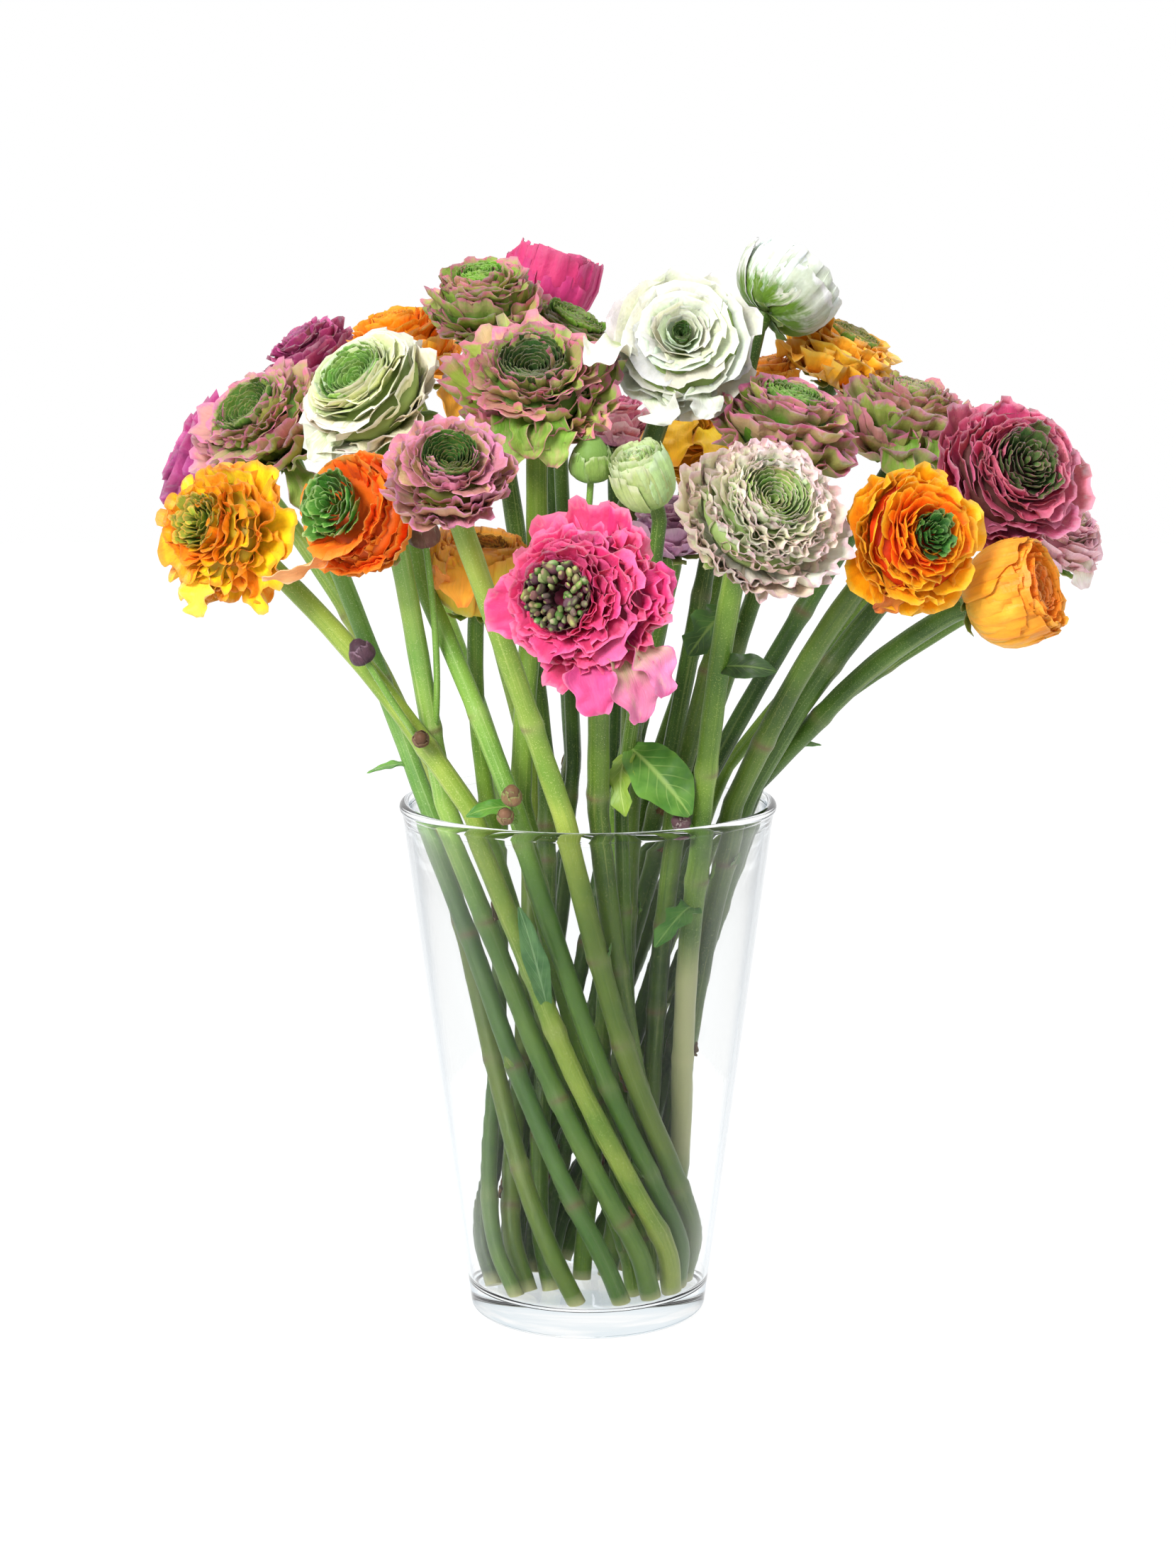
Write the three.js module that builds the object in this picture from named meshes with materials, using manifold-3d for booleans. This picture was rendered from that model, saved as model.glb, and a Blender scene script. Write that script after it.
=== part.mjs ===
// A bouquet of ranunculus in a clear conical glass vase.
//
// Millimetres, +Z up. The origin is the centre of the vase's underside, and the bouquet is seen
// from -Y. The vase is turned on a lathe. Every stem is a chain of points that starts on the
// vase's floor, leans through the mouth and ends under its bloom, and the chains push each other
// and the blooms apart until they lie clear. A bloom is a lathe form whose rings are drawn out
// into whorls of lobed petals.

import * as THREE from 'three';
import { mergeVertices } from 'three/addons/utils/BufferGeometryUtils.js';
import Module from 'manifold-3d';

const wasm = await Module();
wasm.setup();

// ---------------------------------------------------------------- driving dimensions

const VASE_HEIGHT = 250;
const BASE_RADIUS = 57;
const RIM_RADIUS = 90;
const WALL = 3.5;
const FLOOR = 13;
const BEAD = 2.6;
const VASE_SIDES = 36;

const GAP = 0.3; // between pieces that touch
const STEM_SIDES = 5;
const MOUTH_REACH = 79; // stems stay inside this radius at the mouth
const FOOT_SCALE = 0.58; // the bundle's size at the floor, as a share of its size at the mouth
const FOOT_TURN = THREE.MathUtils.degToRad(100); // the bundle's twist from mouth to floor
const WAIST_SHARE = 0.52; // the bundle's size at its waist, as a share of its size at the mouth
const BULGE = 0.3; // how far the bundle bows out above its foot, as a share of its size there
const BULGE_HEIGHT = 0.2; // where it does, as a share of the way to the mouth
const CLEAR = 1.6; // air that the chains keep between stems, and to the blooms
const VASE_STEPS = [0, 0.12, 0.27, 0.5, 0.75]; // a stem's bends in the vase, as shares of the way up
const CHAIN = 30; // points of a stem above the mouth
const NECK = 30; // how far below its bloom a stem has begun to turn to the bloom's facing
const COLLAR = 4; // the straight end of a stem under its bloom

// Bloom: centre x, y, z; facing x, y, z; radius; height; form; petals in a whorl; columns; spin
const BLOOMS = {
  bloom_01: [-50, 26, 486, -0.05, -0.35, 0.93, 27, 33, 'ball', 5, 16, 10],
  bloom_02: [-19, 108, 491, 0.3, 0.05, 0.95, 23, 37, 'cup', 5, 14, 0],
  bloom_03: [-8, 61, 470, 0.45, -0.2, 0.87, 21, 20, 'ball', 5, 12, 20],
  bloom_04: [-24, -59, 450, -0.05, -0.62, 0.78, 34, 38, 'ball', 6, 20, 0],
  bloom_05: [42, -46, 469, 0, -0.93, 0.36, 37, 28, 'disc', 5, 20, 12],
  bloom_06: [94, 44, 489, 0.62, 0.35, 0.7, 24, 32, 'cup', 5, 14, 30],
  bloom_07: [-92, 67, 461, -0.25, -0.15, 0.96, 29, 40, 'ball', 5, 18, 5],
  bloom_08: [-100, -51, 446, -0.5, -0.55, 0.67, 36, 38, 'ball', 6, 18, 40],
  bloom_09: [-140, 108, 458, -0.55, -0.1, 0.83, 25, 27, 'ball', 5, 14, 15],
  bloom_10: [-153, 0, 429, -0.55, -0.45, 0.7, 33, 34, 'ball', 6, 18, 55],
  bloom_11: [-186, 77, 406, -0.9, 0.1, 0.42, 33, 40, 'ball', 5, 16, 0],
  bloom_12: [-166, -79, 385, -0.55, -0.78, 0.3, 32, 32, 'disc', 6, 18, 25],
  bloom_13: [-99, -113, 396, -0.6, -0.75, 0.25, 31, 33, 'disc', 5, 18, 35],
  bloom_14: [-58, -143, 417, 0, -0.7, 0.7, 25, 29, 'ball', 5, 16, 60],
  bloom_16: [-49, -49, 363, 0.1, -0.2, 0.97, 21, 38, 'cup', 5, 14, 0],
  bloom_17: [-2, -156, 363, -0.3, -0.92, 0.22, 35, 33, 'disc', 6, 20, 8],
  bloom_20: [13, 58, 427, 0, -0.1, 0.99, 20, 26, 'ball', 5, 12, 0],
  bloom_21: [49, 18, 421, -0.1, -0.85, 0.5, 21, 22, 'disc', 5, 12, 0],
  bloom_22: [75, -133, 398, 0.35, -0.75, 0.55, 37, 37, 'ball', 6, 20, 22],
  bloom_23: [90, -44, 432, 0.25, -0.25, 0.93, 34, 36, 'ball', 6, 18, 48],
  bloom_24: [125, 69, 458, 0.4, -0.2, 0.89, 28, 30, 'ball', 5, 16, 30],
  bloom_25: [89, 67, 447, -0.1, -0.1, 0.99, 16, 23, 'ball', 5, 12, 0],
  bloom_26: [151, 18, 430, 0.25, -0.15, 0.95, 32, 40, 'ball', 6, 18, 14],
  bloom_27: [193, -51, 410, 0.38, -0.85, 0.36, 37, 36, 'disc', 6, 20, 33],
  bloom_28: [208, 61, 423, 0.35, 0.1, 0.93, 18, 21, 'ball', 5, 12, 0],
  bloom_29: [143, -123, 387, 0.45, -0.87, 0.2, 33, 31, 'disc', 6, 20, 50],
  bloom_30: [187, -90, 358, 0.85, -0.4, 0.3, 23, 39, 'cup', 5, 14, 18],
  bloom_31: [230, 44, 372, 0.3, -0.4, 0.86, 21, 30, 'ball', 5, 14, 42],
  bloom_34: [39, -26, 383, 0, -0.2, 0.98, 20, 28, 'ball', 5, 12, 0],
};

// The bud that ends a stem of its own: centre x, y, z; facing x, y, z; radius; height
const BUD_STEM = [25, -79, 409, -0.35, -0.35, 0.87, 13, 30, 'cup', 5, 10, 0];

// Where the foremost stems and the outermost ones lean on the mouth: x, y. The rest spread out
// by rule.
const MOUTHS = {
  4: [-30, -44], 8: [-36, -66], 10: [-76, -14], 11: [-74, 22], 12: [-48, -60], 13: [-60, -46],
  14: [-12, -76], 16: [-46, -30], 17: [6, -56], 22: [52, -58], 23: [40, -34], 27: [74, -14],
  29: [66, -40], 30: [78, 8], 31: [70, 34],
};

// Loose outer petals, on the bloom of that number: root, bend and tip as x, y, z from the
// bloom's centre, and half the width
const LOOSE_PETALS = [
  [4, [-8, -14, -10], [-12, -30, -24], [-10, -26, -37], 10],
  [4, [8, -14, -10], [9, -30, -24], [8, -26, -36], 8],
  [5, [-6, -2, -22], [-9, -14, -32], [-6, -13, -38], 10],
  [5, [-24, -2, -4], [-36, -26, -2], [-42, -30, -11], 9],
  [5, [8, -2, -20], [10, -16, -30], [9, -17, -35], 8],
  [7, [12, -4, -6], [27, -16, -14], [25, -19, -34], 11],
  [8, [-10, -2, -14], [-20, -12, -24], [-24, -11, -31], 7],
  [10, [10, -6, -14], [22, -20, -28], [24, -18, -46], 8],
  [12, [-4, -2, -16], [-8, -12, -28], [-6, -11, -37], 8],
  [12, [12, -2, -14], [21, -6, -24], [23, -2, -32], 7],
  [13, [-12, -2, -16], [-26, -9, -26], [-42, -9, -27], 5],
  [16, [-8, -12, -6], [-16, -26, -6], [-19, -28, 7], 5],
  [17, [12, 0, -18], [23, -14, -34], [24, -8, -51], 11],
  [17, [0, 0, -20], [4, -16, -36], [8, -10, -47], 10],
  [17, [22, 2, 4], [33, -2, 8], [39, 3, 10], 8],
  [26, [8, -10, -4], [14, -26, -12], [12, -26, -26], 8],
  [29, [-6, 0, -18], [-11, -8, -27], [-20, -7, -31], 6],
  [31, [2, -4, -6], [7, -14, -14], [9, -12, -25], 7],
];
const PETAL_THICK = 1;

// Leaves, on the stem of that number at that height: bend and tip as x, y, z from the root,
// half the width, and whether the edge is cut into lobes
const LEAVES = [
  [22, 288, [-14, -10, -4], [-32, -10, -34], 11, true],
  [8, 258, [-8, -8, 4], [-22, -9, -2], 4.5, false],
  [10, 268, [-8, 0, 2], [-22, 2, -4], 4, false],
  [30, 270, [8, 0, 8], [20, 2, 6], 4, false],
  [23, 330, [4, -12, 4], [12, -26, -16], 8, true],
  [8, 214, [4, -12, -14], [9, -7, -52], 6, false],
  [22, 212, [-6, -16, 0], [-18, -16, -18], 7, true],
];
const LEAF_THICK = 1.2;

// Side shoots that end in a small bud: stem and height, bend and bud centre as x, y, z from the
// root, and the bud's radius
const SHOOTS = [
  [10, 262, [-8, -10, 20], [-27, -16, 64], 5.6],
  [10, 274, [-2, -6, 4], [-2, -11, 10], 3.6],
  [14, 252, [-6, -6, 4], [-16, -8, 17], 4.6],
  [22, 246, [-6, -6, 4], [-11, -8, 12], 4.2],
  [13, 285, [6, -24, 40], [-2, -34, 101], 7],
  [4, 330, [28, -16, 26], [28, -34, 88], 10],
];
const SHOOT_RADIUS = 1.5;

const STEM_RADIUS = 4.5;
const THICK_STEMS = { 4: 5, 5: 5, 12: 4.8, 13: 4.8, 14: 5, 17: 5, 22: 5, 27: 5, 29: 5, 30: 4.8 };
const THIN_STEMS = { 3: 3.6, 9: 3.8, 16: 3.8, 19: 3.4, 20: 3.8, 21: 3.8, 25: 3.4, 28: 3.4, 31: 3.4 };

// ---------------------------------------------------------------- small helpers

const vec = (x, y, z) => new THREE.Vector3(x, y, z);
const lerp = THREE.MathUtils.lerp;

/** The solid that a closed three.js geometry bounds, for joining. */
function solid(geometry) {
  const plain = geometry.index ? geometry.clone() : geometry;
  plain.deleteAttribute('normal');
  plain.deleteAttribute('uv');
  const merged = mergeVertices(plain, 1e-4);
  const mesh = new wasm.Mesh({
    numProp: 3,
    vertProperties: new Float32Array(merged.attributes.position.array),
    triVerts: new Uint32Array(merged.index.array),
  });
  mesh.merge();
  return new wasm.Manifold(mesh);
}

/** A three.js geometry with the faces of a joined solid. */
function surface(joined) {
  const mesh = joined.getMesh();
  const geometry = new THREE.BufferGeometry();
  geometry.setAttribute('position', new THREE.BufferAttribute(mesh.vertProperties, 3));
  geometry.setIndex(new THREE.BufferAttribute(mesh.triVerts, 1));
  geometry.computeVertexNormals();
  return geometry;
}

/** Several closed geometries joined into one. */
function join(geometries) {
  const [first, ...rest] = geometries.map(solid);
  return surface(rest.reduce((whole, piece) => whole.add(piece), first));
}

/** A turned placement: its z axis is `facing`, and `spin` turns it about that axis. */
function placement(centre, facing, spin) {
  const turn = new THREE.Quaternion().setFromUnitVectors(vec(0, 0, 1), facing);
  const about = new THREE.Quaternion().setFromAxisAngle(vec(0, 0, 1), spin);
  return new THREE.Matrix4().compose(centre, turn.multiply(about), vec(1, 1, 1));
}

/** A tube or blade along a path: `width` and `depth` give its half sizes at each share t. */
function sweep(path, sides, width, depth, side) {
  const steps = path.length - 1;
  const geometry = new THREE.CylinderGeometry(1, 1, 1, sides, steps);
  const frames = transport(path, side);
  const position = geometry.attributes.position;
  for (let i = 0; i < position.count; i += 1) {
    const t = position.getY(i) + 0.5;
    const frame = frames[Math.round(t * steps)];
    const point = path[Math.round(t * steps)].clone();
    point.addScaledVector(frame.across, position.getX(i) * width(t));
    point.addScaledVector(frame.normal, -position.getZ(i) * depth(t));
    position.setXYZ(i, point.x, point.y, point.z);
  }
  return geometry;
}

/** Frames carried along a path without twisting, starting across `side`. */
function transport(path, side) {
  const frames = [];
  let across = side.clone();
  path.forEach((point, k) => {
    const before = path[Math.max(k - 1, 0)];
    const after = path[Math.min(k + 1, path.length - 1)];
    const along = after.clone().sub(before).normalize();
    across = across.clone().addScaledVector(along, -across.dot(along)).normalize();
    frames.push({ across, normal: along.clone().cross(across) });
  });
  return frames;
}

// ---------------------------------------------------------------- vase

/** The vase's closed profile: a flat foot, the outer wall, the bead and the inner wall. */
function vaseProfile() {
  const points = [new THREE.Vector2(0, 0), new THREE.Vector2(BASE_RADIUS - 3, 0)];
  points.push(new THREE.Vector2(BASE_RADIUS - 0.6, 1.2), new THREE.Vector2(BASE_RADIUS + 0.2, 4));
  const beadHeight = VASE_HEIGHT - BEAD;
  const beadRadius = RIM_RADIUS - BEAD;
  for (let k = 0; k <= 4; k += 1) {
    const turn = -Math.PI / 3 + (k / 4) * (5 * Math.PI) / 3;
    const x = beadRadius + BEAD * Math.cos(turn);
    points.push(new THREE.Vector2(x, beadHeight + BEAD * Math.sin(turn)));
  }
  const floorRadius = innerRadius(FLOOR);
  points.push(new THREE.Vector2(innerRadius(beadHeight - 2 * BEAD), beadHeight - 2 * BEAD));
  points.push(new THREE.Vector2(floorRadius + 0.6, FLOOR + 4));
  points.push(new THREE.Vector2(floorRadius - 4, FLOOR), new THREE.Vector2(0, FLOOR));
  return points;
}

/** The inner wall's radius at a height. */
function innerRadius(height) {
  return lerp(BASE_RADIUS, RIM_RADIUS - BEAD, height / VASE_HEIGHT) - WALL;
}

// ---------------------------------------------------------------- stems

/** Everything known of each stem before it is drawn. */
function stemPlans() {
  const plans = Object.entries(BLOOMS).map(([name, row]) => {
    const centre = vec(row[0], row[1], row[2]);
    const facing = vec(row[3], row[4], row[5]).normalize();
    return { number: Number(name.slice(-2)), centre, facing, radius: row[6], height: row[7] };
  });
  const bud = BUD_STEM;
  const facing = vec(bud[3], bud[4], bud[5]).normalize();
  const centre = vec(bud[0], bud[1], bud[2]);
  plans.push({ number: 19, centre, facing, radius: bud[6], height: bud[7] });
  for (const plan of plans) {
    plan.thick = THICK_STEMS[plan.number] ?? THIN_STEMS[plan.number] ?? STEM_RADIUS;
    plan.top = plan.centre.clone().addScaledVector(plan.facing, -plan.height / 2 - GAP);
  }
  return plans;
}

/** Spreads the stems over the vase's mouth, each on its bloom's side of it. */
function spreadMouth(plans) {
  const places = plans.map((plan) => {
    const [x, y] = MOUTHS[plan.number] ?? [plan.top.x * 0.42, (plan.top.y + 15) * 0.75];
    return vec(x, y, 0);
  });
  for (let round = 0; round < 600; round += 1) {
    const moves = places.map(() => vec(0, 0, 0));
    places.forEach((a, i) => {
      places.forEach((b, j) => {
        const apart = a.clone().sub(b);
        const need = (1.1 * (plans[i].thick + plans[j].thick) + CLEAR) / WAIST_SHARE;
        const length = apart.length();
        if (j !== i && length < need) {
          moves[i].addScaledVector(apart, (0.35 * (need - length)) / length);
        }
      });
    });
    places.forEach((place, i) => {
      place.add(moves[i]);
      place.clampLength(0, MOUTH_REACH - plans[i].thick + STEM_RADIUS);
    });
  }
  return places;
}

/** A stem's place in the vase at a share of the way from the floor to the mouth. */
function inVase(mouth, share) {
  const foot = mouth.clone().multiplyScalar(FOOT_SCALE).applyAxisAngle(vec(0, 0, 1), FOOT_TURN);
  const place = foot.lerp(mouth, share);
  const tail = 1 / BULGE_HEIGHT - 1;
  const peak = BULGE_HEIGHT * (1 - BULGE_HEIGHT) ** tail;
  place.multiplyScalar(1 + (BULGE * share * (1 - share) ** tail) / peak);
  return place.setZ(lerp(FLOOR, VASE_HEIGHT, share));
}

/** A stem's chain: its points in the vase, then an even run of points up to its bloom. */
function firstChain(plan, mouth) {
  const vase = VASE_STEPS.map((share) => inVase(mouth, share));
  const rise = vase[1].clone().sub(vase[0]).normalize().z;
  vase[0].z = FLOOR + GAP + plan.thick * Math.sqrt(1 - rise * rise); // its cut edge on the floor
  const gate = inVase(mouth, 1);
  const lean = gate.clone().sub(inVase(mouth, 0.9)).normalize();
  const reach = gate.distanceTo(plan.top) * 0.38;
  const early = gate.clone().addScaledVector(lean, reach);
  const late = plan.top.clone().addScaledVector(plan.facing, -Math.min(reach, NECK));
  const curve = new THREE.CubicBezierCurve3(gate, early, late, plan.top);
  return { vase, points: curve.getPoints(CHAIN - 1) };
}

/** How far, and which way, a point inside a bloom's swollen outline has to move to leave it. */
function outOfBloom(point, plan, swell) {
  const from = point.clone().sub(plan.centre);
  const along = from.dot(plan.facing);
  const outward = from.clone().addScaledVector(plan.facing, -along);
  const a = plan.radius + swell;
  const b = plan.height / 2 + swell;
  const depth = Math.sqrt((outward.length() / a) ** 2 + (along / b) ** 2);
  if (depth >= 1) return null;
  const slope = outward.multiplyScalar(1 / (a * a)).addScaledVector(plan.facing, along / (b * b));
  return slope.normalize().multiplyScalar((1 - depth) * Math.min(a, b));
}

/** Lets the chains above the mouth push each other, and the blooms push them, then smooths. */
function settle(plans, chains) {
  for (let round = 0; round < 240; round += 1) {
    const moves = chains.map((chain) => chain.points.map(() => vec(0, 0, 0)));
    chains.forEach((chain, i) => {
      for (let k = 2; k < CHAIN - 3; k += 1) {
        const here = chain.points[k];
        const middle = chain.points[k - 1].clone().add(chain.points[k + 1]).multiplyScalar(0.5);
        moves[i][k].addScaledVector(middle.sub(here), 0.35);
        pushOff(plans, chains, i, here, moves[i][k]);
        plans.forEach((plan, j) => {
          const swell = plans[i].thick + CLEAR;
          const push = j === i && k > CHAIN - 8 ? null : outOfBloom(here, plan, swell);
          if (push) moves[i][k].addScaledVector(push, 0.8);
        });
      }
    });
    chains.forEach((chain, i) => chain.points.forEach((point, k) => point.add(moves[i][k])));
  }
}

/** Adds to `move` the push on one chain's point from every other chain's points. */
function pushOff(plans, chains, i, here, move) {
  chains.forEach((other, j) => {
    if (j === i) return;
    const need = plans[i].thick + plans[j].thick + CLEAR;
    for (const there of other.points) {
      const gap = here.distanceTo(there);
      if (gap < need) move.addScaledVector(here.clone().sub(there), (0.3 * (need - gap)) / gap);
    }
  });
}

/** Every stem's chain, in the order of the plans. */
function stemChains(plans) {
  const mouths = spreadMouth(plans);
  const chains = plans.map((plan, i) => firstChain(plan, mouths[i]));
  settle(plans, chains);
  return chains;
}

/** The few points of a chain that the plain tube runs through. */
function tubePath(chain, plan) {
  const path = [...chain.vase];
  for (const k of [0, 5, 10, 15, 20, 24]) path.push(chain.points[k]);
  path.push(plan.top.clone().addScaledVector(plan.facing, -COLLAR), plan.top);
  return path;
}

/** The point where a chain passes a height. */
function atHeight(chain, height) {
  const points = [...chain.vase, ...chain.points];
  const k = points.findIndex((point) => point.z > height);
  const share = (height - points[k - 1].z) / (points[k].z - points[k - 1].z);
  return points[k - 1].clone().lerp(points[k], share);
}

/** A flat blade, diamond in section, that bends from its root towards its tip. */
function blade(root, bend, tip, halfWidth, thick, outline) {
  const path = new THREE.QuadraticBezierCurve3(root, bend, tip).getPoints(outline.length - 1);
  const side = tip.clone().sub(root).cross(bend.clone().sub(root)).normalize();
  const width = (t) => halfWidth * outline[Math.round(t * (outline.length - 1))];
  return sweep(path, 4, width, () => thick / 2, side);
}

const PLAIN_LEAF = [0.25, 0.8, 1, 0.75, 0.12];
const CUT_LEAF = [0.2, 0.85, 0.55, 1, 0.5, 0.7, 0.1];
const PETAL = [0.5, 0.95, 1, 0.6];

/** A small bud on its side shoot. */
function shoot(root, bend, bud, radius) {
  const path = new THREE.QuadraticBezierCurve3(root, bend, bud).getPoints(4);
  const size = () => SHOOT_RADIUS;
  const tube = sweep(path, 4, size, size, vec(1, 0, 0));
  const half = radius * 1.15;
  const outline = [[0, -half], [0.8 * radius, -0.6 * half], [radius, 0], [0.6 * radius, 0.75 * half]];
  outline.push([0, half]);
  const points = outline.map(([x, y]) => new THREE.Vector2(x, y));
  const facing = bud.clone().sub(bend).normalize();
  const egg = new THREE.LatheGeometry(points, 7).rotateX(Math.PI / 2);
  return [tube, egg.applyMatrix4(placement(bud, facing, 0))];
}

/** A stem with the leaves and side shoots that grow from it. */
function leafyStem(plan, chain) {
  const size = () => plan.thick;
  const pieces = [sweep(tubePath(chain, plan), STEM_SIDES, size, size, vec(1, 0, 0))];
  for (const [number, height, bend, tip, halfWidth, cut] of LEAVES) {
    if (number !== plan.number) continue;
    const root = atHeight(chain, height);
    const [middle, end] = [bend, tip].map((offset) => vec(...offset).add(root));
    pieces.push(blade(root, middle, end, halfWidth, LEAF_THICK, cut ? CUT_LEAF : PLAIN_LEAF));
  }
  for (const [number, height, bend, bud, radius] of SHOOTS) {
    if (number !== plan.number) continue;
    const root = atHeight(chain, height);
    const [middle, end] = [bend, bud].map((offset) => vec(...offset).add(root));
    pieces.push(...shoot(root, middle, end, radius));
  }
  if (plan.number === 19) {
    pieces[0] = sweep(tubePath(chain, { ...plan, top: plan.centre }), STEM_SIDES, size, size, vec(1, 0, 0));
    pieces.push(whorls(BUD_STEM));
  }
  return join(pieces);
}

// ---------------------------------------------------------------- blooms

// Profile rings from the stem's end to the eye: radius and height as shares of the bloom's, and
// what the ring is: the under side, a petal tip (with its whorl), a valley behind a tip, the eye
const PROFILES = {
  ball: [
    [0.2, -0.5, 'under'], [0.58, -0.38, 'under'], [0.9, -0.12, 'under'],
    [1.0, 0.04, 'tip'], [0.8, 0.0, 'valley'], [0.86, 0.22, 'tip'], [0.64, 0.15, 'valley'],
    [0.68, 0.36, 'tip'], [0.47, 0.27, 'valley'], [0.47, 0.45, 'tip'], [0.28, 0.34, 'valley'],
  ],
  disc: [
    [0.2, -0.5, 'under'], [0.6, -0.34, 'under'], [0.93, -0.18, 'under'],
    [1.0, -0.04, 'tip'], [0.8, -0.04, 'valley'], [0.87, 0.16, 'tip'], [0.66, 0.1, 'valley'],
    [0.7, 0.32, 'tip'], [0.5, 0.2, 'valley'], [0.52, 0.42, 'tip'], [0.36, 0.24, 'valley'],
    [0.27, 0.42, 'eye'],
  ],
  cup: [
    [0.22, -0.5, 'under'], [0.62, -0.4, 'under'], [0.88, -0.16, 'under'],
    [0.98, 0.1, 'tip'], [0.82, 0.04, 'valley'], [0.94, 0.34, 'tip'], [0.72, 0.24, 'valley'],
    [0.78, 0.48, 'tip'], [0.54, 0.28, 'valley'], [0.48, 0.4, 'tip'], [0.28, 0.2, 'valley'],
  ],
};
const NOTCH = 0.2; // how deep the notches between a whorl's petals cut, as a share of radius
const RUFFLE = 0.05; // how far the petal tips wave up and down, as a share of height

/** A bloom: its whorls with the loose petals that hang from them. */
function bloom(name, row) {
  const centre = vec(row[0], row[1], row[2]);
  const pieces = [whorls(row)];
  for (const [number, root, bend, tip, halfWidth] of LOOSE_PETALS) {
    if (number !== Number(name.slice(-2))) continue;
    const [start, middle, end] = [root, bend, tip].map((offset) => vec(...offset).add(centre));
    pieces.push(blade(start, middle, end, halfWidth, PETAL_THICK, PETAL));
  }
  return join(pieces);
}

/** One bloom's whorls as a closed skin, in place. */
function whorls(row) {
  const [x, y, z, fx, fy, fz, radius, height, form, petals, columns, spin] = row;
  const profile = PROFILES[form];
  const points = profile.map((ring) => new THREE.Vector2(ring[0] * radius, ring[1] * height));
  const top = form === 'cup' ? 0.3 : 0.5;
  points.unshift(new THREE.Vector2(0, -height / 2));
  points.push(new THREE.Vector2(0, top * height));
  const geometry = new THREE.LatheGeometry(points, columns);
  const rows = points.length;
  const position = geometry.attributes.position;
  let whorl = 0;
  const phases = profile.map((ring) => (whorl += ring[2] === 'tip' ? 1 : 0) * 1.9);
  for (let i = 0; i < position.count; i += 1) {
    const k = i % rows;
    const column = Math.floor(i / rows) % columns;
    const turn = (column / columns) * 2 * Math.PI;
    let reach = points[k].x;
    let rise = points[k].y;
    if (k > 0 && k < rows - 1 && profile[k - 1][2] === 'tip') {
      const lobe = Math.abs(Math.cos((petals * turn) / 2 + phases[k - 1]));
      reach *= 1 - NOTCH * (1 - lobe) ** 1.5;
      rise += RUFFLE * height * Math.sin(3 * turn + 2 * phases[k - 1]);
    }
    position.setXYZ(i, reach * Math.cos(turn), reach * Math.sin(turn), rise);
  }
  const facing = vec(fx, fy, fz).normalize();
  return geometry.applyMatrix4(placement(vec(x, y, z), facing, THREE.MathUtils.degToRad(spin)));
}

// ---------------------------------------------------------------- the bouquet

const COLOURS = {
  bloom_01: 0x9aa24e, bloom_02: 0xb03a78, bloom_03: 0x5c6b2c, bloom_04: 0x8f9c4a,
  bloom_05: 0xf0efe2, bloom_06: 0xdfe3c4, bloom_07: 0xf0862a, bloom_08: 0xe6ebcf,
  bloom_09: 0xa8327a, bloom_10: 0xc58a8e, bloom_11: 0xe290a4, bloom_12: 0xf2a02c,
  bloom_13: 0xe4552c, bloom_14: 0xb04a92, bloom_16: 0xe8892e, bloom_17: 0xe33f83,
  bloom_20: 0xdc6a92, bloom_21: 0xee8a30, bloom_22: 0xd9d6ae, bloom_23: 0xc9899a,
  bloom_24: 0xea7a28, bloom_25: 0xe98434, bloom_26: 0xd9b3a4, bloom_27: 0x9a1f5e,
  bloom_28: 0x6d7c3a, bloom_29: 0xf08a2c, bloom_30: 0xf0a468, bloom_31: 0xeec6c8,
  bloom_34: 0xa97aa6,
};

function add(group, name, geometry, colour, roughness, extra = {}) {
  const material = new THREE.MeshStandardMaterial({ color: colour, roughness, ...extra });
  const mesh = new THREE.Mesh(geometry, material);
  mesh.name = name;
  group.add(mesh);
}

const group = new THREE.Group();
const glass = { metalness: 0, transparent: true, opacity: 0.25 };
add(group, 'vase', new THREE.LatheGeometry(vaseProfile(), VASE_SIDES).rotateX(Math.PI / 2),
  0xe8eef0, 0.05, glass);

const plans = stemPlans();
const chains = stemChains(plans);
plans.forEach((plan, i) => {
  const name = `stem_${String(plan.number).padStart(2, '0')}`;
  add(group, name, leafyStem(plan, chains[i]), 0x6f8a3c, 0.6);
});
for (const [name, row] of Object.entries(BLOOMS)) {
  add(group, name, bloom(name, row), COLOURS[name], 0.7);
}

export default group;
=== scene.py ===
# %% [markdown]
# # A bouquet of ranunculus in a clear glass vase
#
# About thirty cut ranunculus stand in a conical vase. A ranunculus is made of very many thin
# petals, rolled round each other in whorls, with a green or dark eye at the middle. This lesson
# builds every petal, stem, leaf and bud as a surface worked out with numpy, over a plain packed
# model that already fixes where each bloom and stem is.

import bpy
import numpy as np
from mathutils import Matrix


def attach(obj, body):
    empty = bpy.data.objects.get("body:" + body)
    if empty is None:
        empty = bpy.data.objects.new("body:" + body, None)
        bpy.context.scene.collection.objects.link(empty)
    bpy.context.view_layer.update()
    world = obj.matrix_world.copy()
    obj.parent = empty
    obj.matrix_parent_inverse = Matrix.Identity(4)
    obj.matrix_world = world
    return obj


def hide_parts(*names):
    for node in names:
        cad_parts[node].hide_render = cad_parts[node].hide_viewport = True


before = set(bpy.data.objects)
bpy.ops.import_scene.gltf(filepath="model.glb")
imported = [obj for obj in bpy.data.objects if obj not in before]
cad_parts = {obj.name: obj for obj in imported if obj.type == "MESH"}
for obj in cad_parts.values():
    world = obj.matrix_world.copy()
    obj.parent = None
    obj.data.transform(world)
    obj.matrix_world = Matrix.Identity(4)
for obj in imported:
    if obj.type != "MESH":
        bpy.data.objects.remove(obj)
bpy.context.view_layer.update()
print("packed nodes:", len(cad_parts))

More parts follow.
